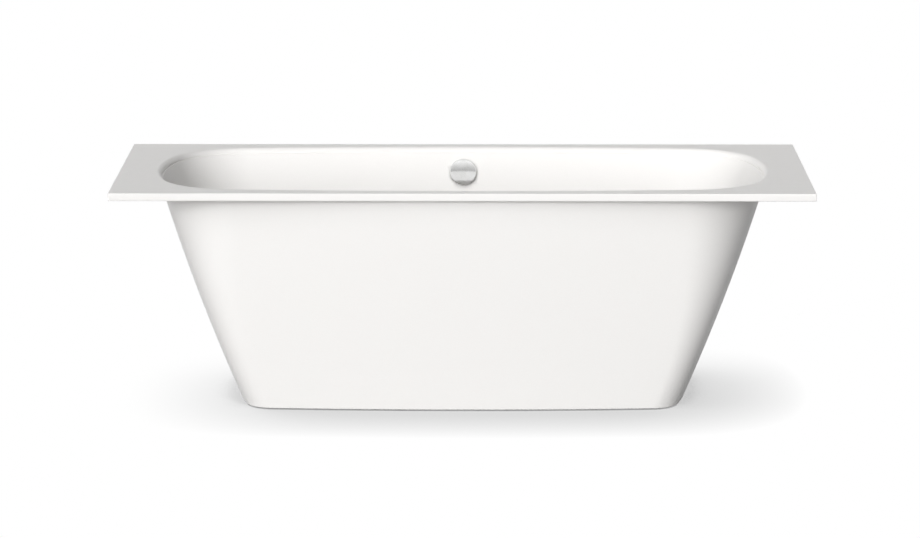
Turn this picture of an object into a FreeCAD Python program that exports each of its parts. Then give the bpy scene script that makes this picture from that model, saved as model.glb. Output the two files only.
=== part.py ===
import FreeCAD, Part
import math
import os

from FreeCAD import Placement, Rotation, Vector

# Built-in bathtub with an overhanging deck, in millimetres.
# X runs along the tub, the front faces -Y, Z is up, and the origin is on the floor under the deck's middle.

# Overall sizes
tub_length = 1800.0
tub_width = 800.0
tub_height = 590.0

# Shared clearances
cut_overrun = 10.0
bond_gap = 0.3
press_gap = 0.05
running_gap = 0.08
level_tolerance = 0.005

# Plan ovals: the arcs of the long sides, the corners and the ends meet at these angles in degrees
side_arc_angle = 4.2
end_arc_angle = 14.6

# Deck slab
deck_thickness = 20.0
deck_edge_round = 1.0
rim_end_width = 96.0
rim_side_width = 38.0
opening_corner = 214.0
rim_roll = 14.0
rim_land = 1.0
groove_depth = 2.0

# Skirt
skirt_wall = 5.0
skirt_end_setback = 7.0
skirt_side_overhang = 24.0
skirt_end_taper = 206.5
skirt_side_taper = 78.5
skirt_end_bulge = 8.3
skirt_side_bulge = 4.2
skirt_top_corner = 228.0
skirt_foot_corner = 77.0
skirt_foot_gap = 4.0
skirt_foot_round = 2.0
skirt_section_shares = (0, 0.5, 1)

# Bowl
bowl_wall = 6.0
bowl_ledge = 3.0
bowl_ledge_round = 1.5
bowl_floor_height = 150.0
bowl_floor_thickness = 12.0
bowl_end_inset = 231.5
bowl_side_inset = 123.0
bowl_floor_corner = 110.0
bowl_floor_fillet = 90.0

# Support board under the bowl
board_length = 860.0
board_side_inset = 82.0
board_thickness = 15.0
board_corner = 30.0
board_notch_room = 12.0

# Leg rails, bent from sheet
rail_spacing = 700.0
rail_end_gap = 42.5
rail_width = 40.0
rail_height = 30.0
rail_sheet = 2.5
rail_bend = 4.0
rail_screw_inset = 30.0
rail_screw_pitch = 60.0
screw_radius = 2.5
screw_grip = 13.0
screw_head_radius = 5.0
screw_head_height = 3.0
screw_crown_share = 0.7

# Adjustable feet
foot_end_inset = 25.0
stud_radius = 6.0
stud_above_rail = 16.0
stud_seat_depth = 8.0
nut_flats = 19.0
nut_height = 10.0
pad_radius = 30.0
pad_rim = 4.0
pad_neck_radius = 16.0
pad_height = 14.0

# Overflow
overflow_drop = 67.0
overflow_hole_radius = 26.0
overflow_gasket = 2.5
flange_radius = 31.0
flange_thickness = 3.0
flange_neck_radius = 24.5
flange_neck_wall = 3.0
flange_neck_reach = 8.0
flange_hub_radius = 8.0
flange_spoke_width = 9.0
flange_spoke_depth = 5.0
flange_screw_circle = 17.0
flange_screw_radius = 2.0
flange_screw_length = 16.0
flange_screw_head_radius = 3.8
flange_screw_head_height = 2.2
housing_radius = 32.0
housing_wall = 2.2
housing_clearance = 2.0
housing_post_radius = 3.5
housing_bridge_width = 8.0
housing_bridge_thickness = 3.5
housing_bridge_gap = 3.0
housing_bridge_room = 0.5
duct_half_width = 22.0
duct_corner = 7.0
duct_top_reach = 18.0
duct_reach = 56.0
duct_stand_off = 5.0
gland_radius = 5.0
gland_bore_radius = 2.0
gland_length = 9.0
spindle_radius = 4.0
spindle_bush_radius = 7.0
spindle_bush_height = 4.0
drum_radius = 12.0
drum_thickness = 6.0
drum_groove = 1.6

# Overflow knob
knob_radius = 36.0
knob_stand_off = 4.0
knob_side = 12.0
knob_crown = 3.2
knob_edge_round = 2.5
knob_wall = 2.0
knob_hub_radius = 7.0
knob_hub_gap = 0.4

# Overflow pipe
pipe_radius = 14.0
pipe_bore_radius = 12.1
pipe_overlap = 18.0
pipe_straight = 26.0
clip_width = 10.0
clip_thickness = 2.5
clip_lug = 8.0

# Drain
drain_rear_inset = 142.0
drain_hole_radius = 26.0
drain_seat_radius = 39.0
drain_seat_depth = 7.0
drain_washer = 1.5
drain_washer_width = 10.0
drain_rim_radius = 38.0
drain_dish_radius = 36.0
drain_dish_depth = 3.8
drain_throat_radius = 22.5
drain_tail_radius = 25.0
drain_tail_reach = 4.0
guide_radius = 7.0
guide_height = 10.0
guide_arm_width = 4.0
guide_arm_height = 8.0
guide_arm_count = 3
guide_depth = 22.0
drain_gasket = 4.0
body_radius = 40.0
body_wall = 3.0
body_lip = 8.0
body_lip_gap = 0.2
body_foot_round = 6.0
waste_axis_height = 92.0
body_below_axis = 26.0
waste_pipe_radius = 20.0
waste_pipe_wall = 2.5
waste_spigot = 24.0
inlet_radius = 12.0
inlet_wall = 2.2
inlet_spigot = 24.0

# Drain plug and its lifter
plug_radius = 33.0
plug_lift_gap = 1.2
plug_edge_height = 1.4
plug_crown = 3.0
plug_edge_round = 1.0
plug_boss_radius = 8.0
plug_boss_depth = 7.0
seal_outer_radius = 29.0
seal_inner_radius = 24.0
seal_height = 3.0
stem_radius = 4.0
stem_reach = 40.0
stem_screw_in = 5.0
lever_arm = 27.0
lever_horn = 12.0
lever_width = 6.0
lever_tip_radius = 4.0
lever_boss_radius = 5.0
lever_horn_radius = 2.5
lever_gap = 0.5
lever_pin_radius = 2.0

# Trap and outlet
trap_dip = 67.0
trap_straight = 6.0
trap_entry = 22.0
union_gap = 0.3
union_nut_radius = 27.0
union_nut_length = 26.0
union_nut_ribs = 12
union_rib_radius = 2.0
elbow_bend = 32.0
elbow_entry = 20.0
elbow_end_height = 12.0

# Levels and half sizes that follow from the sizes above
deck_bottom = tub_height - deck_thickness
bowl_top = tub_height - rim_roll - rim_land
skirt_top = deck_bottom + groove_depth
roll_half_length = tub_length / 2 - rim_end_width - rim_roll
roll_half_width = tub_width / 2 - rim_side_width - rim_roll
roll_corner = opening_corner - rim_roll
bowl_half_length = roll_half_length - bowl_ledge
bowl_half_width = roll_half_width - bowl_ledge
bowl_corner = roll_corner - bowl_ledge
bowl_depth = bowl_top - bowl_floor_height
bowl_end_slope = bowl_end_inset / bowl_depth
bowl_side_slope = bowl_side_inset / bowl_depth
skirt_half_length = tub_length / 2 - rim_end_width - skirt_end_setback
skirt_half_width = tub_width / 2 - skirt_side_overhang
floor_half_width = bowl_half_width - bowl_side_inset
drain_offset = floor_half_width - drain_rear_inset
board_top = bowl_floor_height - bowl_floor_thickness
board_width = 2 * (floor_half_width - board_side_inset)
rail_top = board_top - board_thickness
rail_length = 2 * (skirt_half_width - skirt_side_taper - skirt_wall - rail_end_gap)
foot_spacing = rail_length - 2 * foot_end_inset
outer_screw_spacing = board_width - 2 * rail_screw_inset
inner_screw_spacing = outer_screw_spacing - 2 * rail_screw_pitch
wall_lean = math.atan(bowl_side_slope)
wall_depth = bowl_wall * math.cos(wall_lean)
overflow_height = tub_height - overflow_drop
overflow_wall_y = bowl_half_width - (bowl_top - overflow_height) * bowl_side_slope

# Directions
along_x = Vector(1, 0, 0)
along_y = Vector(0, 1, 0)
upward = Vector(0, 0, 1)

# The overflow is made about its own axis: local Z points from the rear wall into the bowl, local Y up it.
overflow_frame = Placement(
    Vector(0, overflow_wall_y, overflow_height),
    Rotation(along_x, 90 - math.degrees(wall_lean)),
)
# Pieces of the drain are made about local Z, with the bowl's floor at zero.
drain_frame = Placement(Vector(0, drain_offset, bowl_floor_height), Rotation())


def oval(half_length, half_width, corner, level=0):
    """Closed wire of eight tangent arcs: two ends, two sides and four corners."""
    side = math.radians(side_arc_angle)
    end = math.radians(end_arc_angle)
    side_rise = 1 - math.cos(side)
    end_rise = 1 - math.cos(end)
    reach_x = half_length - corner
    reach_y = half_width - corner
    share = math.sin(side) * math.sin(end) - side_rise * end_rise
    side_extra = (reach_x * math.sin(end) - reach_y * end_rise) / share
    end_extra = (reach_y * math.sin(side) - reach_x * side_rise) / share
    side_radius = side_extra + corner
    end_radius = end_extra + corner
    middle = (end + math.pi / 2 - side) / 2

    end_point = (half_length - end_radius * end_rise, end_radius * math.sin(end))
    side_point = (side_radius * math.sin(side), half_width - side_radius * side_rise)
    corner_point = (
        side_extra * math.sin(side) + corner * math.cos(middle),
        end_extra * math.sin(end) + corner * math.sin(middle),
    )

    def at(point, sign_x, sign_y):
        return Vector(point[0] * sign_x, point[1] * sign_y, level)

    arcs = []
    for sign in (1, -1):
        end_middle = Vector(sign * half_length, 0, level)
        side_middle = Vector(0, sign * half_width, level)
        near_end, far_end = at(end_point, sign, -sign), at(end_point, sign, sign)
        near_side, far_side = at(side_point, sign, sign), at(side_point, -sign, sign)
        arcs.append((near_end, end_middle, far_end))
        arcs.append((far_end, at(corner_point, sign, sign), near_side))
        arcs.append((near_side, side_middle, far_side))
        arcs.append((far_side, at(corner_point, -sign, sign), at(end_point, -sign, sign)))
    return Part.Wire([Part.Arc(*arc).toShape() for arc in arcs])


def oval_prism(half_length, half_width, corner, low, high):
    """Straight oval block between two levels."""
    return Part.Face(oval(half_length, half_width, corner, low)).extrude(upward * (high - low))


def cylinder(radius, low, high, x=0, y=0):
    """Upright round bar between two levels."""
    return Part.makeCylinder(radius, high - low, Vector(x, y, low))


def ring(outer_radius, inner_radius, low, high):
    """Upright tube about Z."""
    return cylinder(outer_radius, low, high).cut(cylinder(inner_radius, low, high))


def block(x_low, x_high, y_low, y_high, z_low, z_high):
    """Box between two corners."""
    return Part.makeBox(x_high - x_low, y_high - y_low, z_high - z_low, Vector(x_low, y_low, z_low))


def turned(points, middles=None):
    """Solid turned about Z from (radius, level) points, joined by lines or by arcs through given middles."""
    outline = [Vector(radius, 0, level) for radius, level in points]
    edges = []
    for index, (first, last) in enumerate(zip(outline, outline[1:] + outline[:1])):
        if middles and index in middles:
            radius, level = middles[index]
            edges.append(Part.Arc(first, Vector(radius, 0, level), last).toShape())
        else:
            edges.append(Part.LineSegment(first, last).toShape())
    return Part.Face(Part.Wire(edges)).revolve(Vector(), upward, 360)


def dome_middle(radius, low, crown):
    """Point half way in on a dome of one radius that rises by its crown from a level."""
    sphere = (radius ** 2 + crown ** 2) / (2 * crown)
    return radius / 2, low + crown - sphere + math.sqrt(sphere ** 2 - radius ** 2 / 4)


def hexagon(flats, low, high):
    """Upright hexagonal bar about Z."""
    reach = flats / math.sqrt(3)
    corners = [Vector(reach * math.cos(turn), reach * math.sin(turn), low)
               for turn in (math.radians(60 * step) for step in range(7))]
    return Part.Face(Part.makePolygon(corners)).extrude(upward * (high - low))


def placed(shape, placement):
    """Copy of a shape, carried into another frame."""
    return shape.transformed(placement.toMatrix(), True)


def moved(shape, x, y, z=0):
    """Copy of a shape, moved without a turn."""
    return placed(shape, Placement(Vector(x, y, z), Rotation()))


def edges_where(shape, test):
    """Edges of a shape whose end points all pass a test."""
    return [edge for edge in shape.Edges if all(test(vertex.Point) for vertex in edge.Vertexes)]


def level_edges(shape, level):
    """Edges of a shape that lie at one level."""
    return edges_where(shape, lambda point: math.isclose(point.z, level, abs_tol=level_tolerance))


def bent_path(points, bend):
    """Straight runs through the points, joined by tangent arcs of one radius."""
    edges = []
    start = points[0]
    for before, corner, after in zip(points, points[1:], points[2:]):
        back = (before - corner).normalize()
        ahead = (after - corner).normalize()
        half_angle = back.getAngle(ahead) / 2
        reach = bend / math.tan(half_angle)
        inward = (back + ahead).normalize()
        first = corner + back * reach
        last = corner + ahead * reach
        middle = corner + inward * (bend / math.sin(half_angle) - bend)
        edges.append(Part.LineSegment(start, first).toShape())
        edges.append(Part.Arc(first, middle, last).toShape())
        start = last
    edges.append(Part.LineSegment(start, points[-1]).toShape())
    return Part.Wire(edges)


def swept(points, bend, radius):
    """Round bar along a bent path."""
    path = bent_path(points, bend)
    section = Part.Wire(Part.makeCircle(radius, points[0], points[1] - points[0]))
    return path.makePipeShell([section], True, False)


def bent_tube(points, bend, outer_radius, inner_radius):
    """Tube along a bent path, open at both ends."""
    return swept(points, bend, outer_radius).cut(swept(points, bend, inner_radius))


def skirt_shell(inset):
    """Solid under the skirt's outer face, drawn in by an inset."""
    sections = []
    for share in skirt_section_shares:
        bulge_share = 4 * share * (1 - share)
        half_length = skirt_half_length - skirt_end_taper * (1 - share) + skirt_end_bulge * bulge_share
        half_width = skirt_half_width - skirt_side_taper * (1 - share) + skirt_side_bulge * bulge_share
        corner = skirt_foot_corner + (skirt_top_corner - skirt_foot_corner) * share ** 2
        level = skirt_foot_gap + (skirt_top - skirt_foot_gap) * share
        sections.append(oval(half_length - inset, half_width - inset, corner - inset, level))
    return Part.makeLoft(sections, True, False)


def bowl_form(wall, floor_drop):
    """Solid inside the bowl, grown by a wall and deepened by a floor thickness."""
    low = bowl_floor_height - floor_drop
    drawn_in = bowl_top - low
    sections = [
        oval(
            bowl_half_length + wall - drawn_in * bowl_end_slope,
            bowl_half_width + wall - drawn_in * bowl_side_slope,
            bowl_floor_corner + wall,
            low,
        ),
        oval(bowl_half_length + wall, bowl_half_width + wall, bowl_corner + wall, bowl_top),
    ]
    form = Part.makeLoft(sections, True, True)
    return form.makeFillet(bowl_floor_fillet + wall, level_edges(form, low))


def make_deck():
    """Slab with a rolled opening, a rebate that takes the bowl's rim and a groove for the skirt."""
    slab = block(-tub_length / 2, tub_length / 2, -tub_width / 2, tub_width / 2, deck_bottom, tub_height)
    slab = slab.makeFillet(deck_edge_round, slab.Edges)
    opening = oval_prism(
        roll_half_length, roll_half_width, roll_corner, deck_bottom - cut_overrun, tub_height + cut_overrun
    )
    deck = slab.cut(opening)
    on_opening = [edge for edge in level_edges(deck, tub_height)
                  if abs(edge.CenterOfMass.x) < tub_length / 2 - rim_end_width
                  and abs(edge.CenterOfMass.y) < tub_width / 2 - rim_side_width]
    deck = deck.makeFillet(rim_roll, on_opening)
    seat = bowl_wall + bond_gap
    rebate = oval_prism(
        bowl_half_length + seat,
        bowl_half_width + seat,
        bowl_corner + seat,
        deck_bottom - cut_overrun,
        bowl_top,
    )
    groove = oval_prism(
        skirt_half_length + bond_gap,
        skirt_half_width + bond_gap,
        skirt_top_corner + bond_gap,
        deck_bottom,
        skirt_top,
    )
    lean = groove_depth * skirt_end_taper / (skirt_top - skirt_foot_gap)
    core_inset = skirt_wall + lean + bond_gap
    core = oval_prism(
        skirt_half_length - core_inset,
        skirt_half_width - core_inset,
        skirt_top_corner - core_inset,
        deck_bottom,
        skirt_top,
    )
    return deck.cut(rebate).cut(groove.cut(core))


def make_skirt():
    """Closed outer shell that stands clear of the floor and is let into the deck."""
    outer = skirt_shell(0)
    outer = outer.makeFillet(skirt_foot_round, level_edges(outer, skirt_foot_gap))
    return outer.cut(skirt_shell(skirt_wall))


def make_bowl():
    """Basin with a rounded floor, a drain seat and an overflow hole."""
    bowl = bowl_form(bowl_wall, bowl_floor_thickness).cut(bowl_form(0, 0))
    ledge = oval(bowl_half_length, bowl_half_width, bowl_corner, bowl_top)
    on_ledge = [edge for edge in level_edges(bowl, bowl_top) if edge.distToShape(ledge)[0] < bowl_wall / 2]
    bowl = bowl.makeFillet(bowl_ledge_round, on_ledge)
    seat = cylinder(drain_seat_radius, -drain_seat_depth, cut_overrun)
    hole = cylinder(drain_hole_radius, -bowl_floor_thickness - cut_overrun, cut_overrun)
    overflow_hole = cylinder(overflow_hole_radius, -wall_depth - cut_overrun, cut_overrun)
    return bowl.cut(placed(seat.fuse(hole), drain_frame)).cut(placed(overflow_hole, overflow_frame))


def make_board():
    """Board bonded under the bowl's floor, notched round the drain and the pipe that leads to it."""
    board = block(-board_length / 2, board_length / 2, -board_width / 2, board_width / 2, rail_top, board_top)
    upright = [edge for edge in board.Edges if edge.BoundBox.ZLength > board_thickness / 2]
    board = board.makeFillet(board_corner, upright)
    notch_half = body_radius + board_notch_room
    low, high = rail_top - cut_overrun, board_top + cut_overrun
    notch = cylinder(notch_half, low, high, 0, drain_offset)
    notch = notch.fuse(block(-notch_half, notch_half, drain_offset, board_width + cut_overrun, low, high))
    board = board.cut(notch)
    for x, y in rail_screw_places():
        board = board.cut(cylinder(screw_radius + press_gap, rail_top, rail_top + screw_grip, x, y))
    return board


def rail_screw_places():
    """Centres of the screws that hold the rails to the board."""
    return [(side * rail_spacing / 2, end * spacing / 2)
            for side in (-1, 1) for spacing in (inner_screw_spacing, outer_screw_spacing) for end in (-1, 1)]


def foot_places():
    """Names and centres of the four feet."""
    return [(f"{front}_{side}", side_sign * rail_spacing / 2, front_sign * foot_spacing / 2)
            for front, front_sign in (("front", -1), ("rear", 1))
            for side, side_sign in (("left", -1), ("right", 1))]


def long_edges(shape, level):
    """Edges of a shape at one level that run the length of a rail."""
    return [edge for edge in level_edges(shape, level) if edge.BoundBox.YLength > rail_length / 2]


def make_rail(centre):
    """Sheet channel across the tub, open downwards, with holes for its studs and screws."""
    half_width = rail_width / 2
    low = rail_top - rail_height
    rail = block(centre - half_width, centre + half_width, -rail_length / 2, rail_length / 2, low, rail_top)
    rail = rail.makeFillet(rail_bend, long_edges(rail, rail_top))
    inner_half = half_width - rail_sheet
    hollow = block(
        centre - inner_half,
        centre + inner_half,
        -rail_length / 2 - cut_overrun,
        rail_length / 2 + cut_overrun,
        low - cut_overrun,
        rail_top - rail_sheet,
    )
    bends = long_edges(hollow, rail_top - rail_sheet)
    rail = rail.cut(hollow.makeFillet(rail_bend - rail_sheet, bends))
    for x, y in rail_screw_places():
        rail = rail.cut(cylinder(screw_radius + press_gap, low, rail_top, x, y))
    for name, x, y in foot_places():
        rail = rail.cut(cylinder(stud_radius + bond_gap, low, rail_top, x, y))
    return rail


def make_rail_screws():
    """Screws from inside the rails up into the board."""
    head_top = rail_top - rail_sheet
    profile = [
        (0, head_top - screw_head_height),
        (screw_head_radius * screw_crown_share, head_top - screw_head_height),
        (screw_head_radius, head_top - screw_head_height / 2),
        (screw_head_radius, head_top),
        (screw_radius, head_top),
        (screw_radius, rail_top + screw_grip - screw_radius),
        (0, rail_top + screw_grip),
    ]
    screw = turned(profile)
    return Part.makeCompound([moved(screw, x, y) for x, y in rail_screw_places()])


def make_nuts(top):
    """Four hexagon nuts on the studs, with their top faces at one level."""
    nut = hexagon(nut_flats, top - nut_height, top).cut(
        cylinder(stud_radius + running_gap, top - nut_height, top)
    )
    return Part.makeCompound([moved(nut, x, y) for name, x, y in foot_places()])


def make_stud(x, y):
    """Levelling stud with a hexagon above its pad."""
    low = pad_height - stud_seat_depth
    stud = cylinder(stud_radius, low, rail_top + stud_above_rail)
    stud = stud.makeChamfer(stud_radius / 4, level_edges(stud, rail_top + stud_above_rail))
    stud = stud.fuse(hexagon(nut_flats, pad_height, pad_height + nut_height)).removeSplitter()
    return moved(stud, x, y)


def make_pad(x, y):
    """Moulded foot pad with a seat for its stud."""
    pad = turned([
        (0, 0),
        (pad_radius - pad_rim / 4, 0),
        (pad_radius, pad_rim / 4),
        (pad_radius, pad_rim),
        (pad_neck_radius, pad_height),
        (0, pad_height),
    ])
    pad = pad.cut(cylinder(stud_radius + press_gap, pad_height - stud_seat_depth, pad_height + cut_overrun))
    return moved(pad, x, y)


def overflow_levels():
    """Local levels of the overflow housing's front and back faces, from the room between bowl and skirt."""
    top = overflow_height + housing_radius * math.cos(wall_lean)
    rise_share = (top - skirt_foot_gap) / (skirt_top - skirt_foot_gap)
    skirt_inside = skirt_half_width - skirt_side_taper * (1 - rise_share) - skirt_wall
    bowl_outside = bowl_half_width + bowl_wall - (bowl_top - top) * bowl_side_slope
    room = (skirt_inside - bowl_outside) * math.cos(wall_lean)
    front = -wall_depth - overflow_gasket
    back = -wall_depth - room + housing_clearance
    return front, back


def make_overflow_flange():
    """Ring inside the bowl with a neck through the wall, a spindle bush and two spokes."""
    neck_low = -wall_depth - overflow_gasket - flange_neck_reach
    neck_bore = flange_neck_radius - flange_neck_wall
    flange = ring(flange_radius, neck_bore, bond_gap, flange_thickness)
    rims = level_edges(flange, flange_thickness)
    outer_rim = max(rims, key=lambda edge: edge.Length)
    flange = flange.makeFillet(flange_thickness / 3, [outer_rim])
    flange = flange.fuse(ring(flange_neck_radius, neck_bore, neck_low, flange_thickness))
    spoke_low = flange_thickness - flange_spoke_depth
    spokes = block(
        -neck_bore - press_gap,
        neck_bore + press_gap,
        -flange_spoke_width / 2,
        flange_spoke_width / 2,
        spoke_low,
        flange_thickness,
    )
    flange = flange.fuse(spokes).fuse(cylinder(flange_hub_radius, spoke_low, flange_thickness))
    flange = flange.cut(cylinder(spindle_radius + running_gap, spoke_low, flange_thickness))
    for side in (-1, 1):
        hole = cylinder(flange_screw_radius + press_gap, spoke_low, flange_thickness)
        flange = flange.cut(moved(hole, side * flange_screw_circle, 0))
    return placed(flange.removeSplitter(), overflow_frame)


def make_overflow_gasket():
    """Flat rubber ring between the bowl's back and the housing."""
    front, back = overflow_levels()
    gasket = ring(housing_radius, overflow_hole_radius, front, front + overflow_gasket - bond_gap / 2)
    return placed(gasket, overflow_frame)


def duct_section(half_width, half_depth, corner, reach, level):
    """Oval wire across the housing's duct, at a distance down the wall."""
    section = oval(half_width, half_depth, corner)
    return placed(section, Placement(Vector(0, -reach, level), Rotation(along_x, 90)))


def duct(inset):
    """Part of the housing that narrows from the round cup to the pipe spigot."""
    front, back = overflow_levels()
    radius = inlet_radius - inset
    half_depth = (front - back) / 2 - inset
    middle = (front + back) / 2
    wide = duct_section(duct_half_width - inset, half_depth, duct_corner - inset, duct_top_reach, middle)
    narrow = duct_section(radius, radius, radius, duct_reach, spigot_level())
    return Part.makeLoft([wide, narrow], True, True)


def spigot_level():
    """Local level of the overflow pipe's axis behind the bowl wall."""
    return -wall_depth - duct_stand_off - inlet_radius


def spigot(radius):
    """Round bar along the overflow spigot."""
    return Part.makeCylinder(radius, inlet_spigot, Vector(0, -duct_reach, spigot_level()), along_y * -1)


def make_overflow_housing():
    """Slim cup behind the bowl wall: duct, screw posts with a bridge, spindle bush and cable gland."""
    front, back = overflow_levels()
    housing = cylinder(housing_radius, back, front)
    housing = housing.makeFillet(housing_wall, level_edges(housing, back))
    gland_level = (front + back) / 2
    gland_axis = Vector(duct_half_width, -duct_top_reach, gland_level)
    gland_full = duct_top_reach + gland_length
    housing = housing.fuse(duct(0)).fuse(spigot(inlet_radius))
    housing = housing.fuse(Part.makeCylinder(gland_radius, gland_full, gland_axis, along_y * -1))
    hollow = cylinder(housing_radius - housing_wall, back + housing_wall, front - housing_wall)
    hollow = hollow.fuse(cylinder(flange_neck_radius + bond_gap, back + housing_wall, front + cut_overrun))
    housing = housing.cut(hollow).cut(duct(housing_wall)).cut(spigot(inlet_radius - housing_wall))
    housing = housing.cut(Part.makeCylinder(gland_bore_radius, gland_full, gland_axis, along_y * -1))
    post_top = flange_thickness - flange_spoke_depth
    for side in (-1, 1):
        housing = housing.fuse(cylinder(housing_post_radius, back, post_top, side * flange_screw_circle))
    bush = ring(
        spindle_bush_radius,
        spindle_radius + running_gap,
        back + housing_wall,
        back + housing_wall + spindle_bush_height,
    )
    housing = housing.fuse(bush)
    bridge_low = back + housing_wall + spindle_bush_height + drum_thickness + housing_bridge_gap
    bridge_high = bridge_low + housing_bridge_thickness
    bridge = block(
        -flange_screw_circle,
        flange_screw_circle,
        -housing_bridge_width / 2,
        housing_bridge_width / 2,
        bridge_low,
        bridge_high,
    )
    bridge = bridge.cut(cylinder(spindle_radius + housing_bridge_room, bridge_low, bridge_high))
    housing = housing.fuse(bridge)
    for side in (-1, 1):
        hole_low = flange_thickness - flange_screw_length
        hole = cylinder(flange_screw_radius + press_gap, hole_low, post_top, side * flange_screw_circle)
        housing = housing.cut(hole)
    return placed(housing, overflow_frame)


def make_overflow_screws():
    """Two pan-head screws that draw the flange and the housing together."""
    top = flange_thickness + flange_screw_head_height
    screw = turned([
        (0, flange_thickness - flange_screw_length),
        (flange_screw_radius, flange_thickness - flange_screw_length),
        (flange_screw_radius, flange_thickness),
        (flange_screw_head_radius, flange_thickness),
        (flange_screw_head_radius, top - flange_screw_head_height / 2),
        (flange_screw_head_radius / 2, top),
        (0, top),
    ])
    screws = [moved(screw, side * flange_screw_circle, 0) for side in (-1, 1)]
    return placed(Part.makeCompound(screws), overflow_frame)


def make_knob():
    """Domed cap that hides the overflow, hollow behind, with a hub on the spindle."""
    edge_top = knob_stand_off + knob_side
    face_radius = knob_radius - knob_edge_round
    round_low = edge_top - knob_edge_round
    round_reach = knob_edge_round * math.sqrt(1 / 2)
    inner_top = edge_top - knob_wall
    inner_radius = knob_radius - knob_wall
    hub_low = flange_thickness + knob_hub_gap
    bore = spindle_radius + press_gap
    outline = [
        (bore, hub_low),
        (knob_hub_radius, hub_low),
        (knob_hub_radius, inner_top),
        (inner_radius, inner_top),
        (inner_radius, knob_stand_off),
        (knob_radius, knob_stand_off),
        (knob_radius, round_low),
        (face_radius, edge_top),
        (0, edge_top + knob_crown),
        (0, inner_top),
        (bore, inner_top),
    ]
    edge_round = outline.index((knob_radius, round_low))
    middles = {
        edge_round: (face_radius + round_reach, round_low + round_reach),
        edge_round + 1: dome_middle(face_radius, edge_top, knob_crown),
    }
    return placed(turned(outline, middles), overflow_frame)


def make_spindle():
    """Shaft from the knob through the flange's bush to the bush in the housing."""
    front, back = overflow_levels()
    low = back + housing_wall + bond_gap
    high = knob_stand_off + knob_side - knob_wall - bond_gap
    return placed(cylinder(spindle_radius, low, high), overflow_frame)


def make_drum():
    """Grooved drum on the spindle that winds the pull wire."""
    front, back = overflow_levels()
    low = back + housing_wall + spindle_bush_height + bond_gap
    high = low + drum_thickness
    middle = (low + high) / 2
    bore = spindle_radius + press_gap
    drum = turned([
        (bore, low),
        (drum_radius, low),
        (drum_radius, middle - drum_groove),
        (drum_radius - drum_groove, middle),
        (drum_radius, middle + drum_groove),
        (drum_radius, high),
        (bore, high),
    ])
    return placed(drum, overflow_frame)


def overflow_pipe_points():
    """Corners of the overflow pipe's axis, from the housing's spigot to the drain body's inlet."""
    top = overflow_frame.multVec(Vector(0, -duct_reach - inlet_spigot + pipe_overlap, spigot_level()))
    down = overflow_frame.Rotation.multVec(along_y * -1)
    corner = top + down * ((waste_axis_height - top.z) / down.z)
    end = Vector(0, drain_offset + body_radius + inlet_spigot - pipe_overlap, waste_axis_height)
    return [top, corner, end]


def make_overflow_pipe():
    """Bent pipe from the overflow down behind the bowl to the drain, in as wide a bend as fits."""
    top, corner, end = overflow_pipe_points()
    half_angle = (top - corner).getAngle(end - corner) / 2
    bend = ((end - corner).Length - pipe_straight) * math.tan(half_angle)
    return bent_tube([top, corner, end], bend, pipe_radius, pipe_bore_radius)


def make_clip(end, direction):
    """Band with a screw lug round one end of the overflow pipe, made from its end point along a direction."""
    inner = pipe_radius + press_gap
    outer = inner + clip_thickness
    inset = (pipe_overlap - clip_width) / 2
    clip = cylinder(outer, inset, inset + clip_width)
    lug = block(-clip_lug / 2, clip_lug / 2, pipe_radius, outer + clip_lug / 2, inset, inset + clip_width)
    clip = clip.fuse(lug).cut(cylinder(inner, inset - cut_overrun, inset + clip_width + cut_overrun))
    clip = clip.removeSplitter()
    turn = Rotation(upward, direction).multiply(Rotation(upward, 90))
    return placed(clip, Placement(end, turn))


def make_drain_washer():
    """Rubber ring between the drain flange and its seat in the bowl."""
    outer = drain_rim_radius - bond_gap
    low = -drain_seat_depth
    return placed(ring(outer, outer - drain_washer_width, low, low + drain_washer), drain_frame)


def drain_tail_low():
    """Local level of the drain flange's lower end."""
    return -bowl_floor_thickness - drain_gasket - body_lip - drain_tail_reach


def make_drain_flange():
    """Dished ring in the bowl's floor, with a tail into the drain body and a guide for the plug's stem."""
    under = -drain_seat_depth + drain_washer
    tail_low = drain_tail_low()
    edge_round = drain_rim_radius - drain_dish_radius
    flange = turned([
        (drain_dish_radius, 0),
        (drain_rim_radius, -edge_round / 2),
        (drain_rim_radius, under),
        (drain_tail_radius, under),
        (drain_tail_radius, tail_low),
        (drain_throat_radius, tail_low),
        (drain_throat_radius, under),
        (drain_throat_radius + edge_round / 2, -drain_dish_depth),
    ])
    guide_low = -guide_depth
    guide = cylinder(guide_radius, guide_low, guide_low + guide_height)
    for step in range(guide_arm_count):
        arm = block(
            0,
            drain_throat_radius + press_gap,
            -guide_arm_width / 2,
            guide_arm_width / 2,
            guide_low,
            guide_low + guide_arm_height,
        )
        turn = Rotation(upward, 90 + 360 * step / guide_arm_count)
        guide = guide.fuse(placed(arm, Placement(Vector(), turn)))
    guide = guide.cut(cylinder(stem_radius + running_gap, guide_low, guide_low + guide_height))
    return placed(flange.fuse(guide).removeSplitter(), drain_frame)


def make_drain_gasket():
    """Thick rubber ring between the bowl's underside and the drain body."""
    top = -bowl_floor_thickness
    return placed(ring(body_radius - bond_gap, drain_hole_radius, top - drain_gasket, top), drain_frame)


def lever_pivot():
    """Local place of the lift lever's pin, level with the tip under the stem."""
    return Vector(-lever_arm, 0, -stem_reach - lever_gap - lever_tip_radius)


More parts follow.
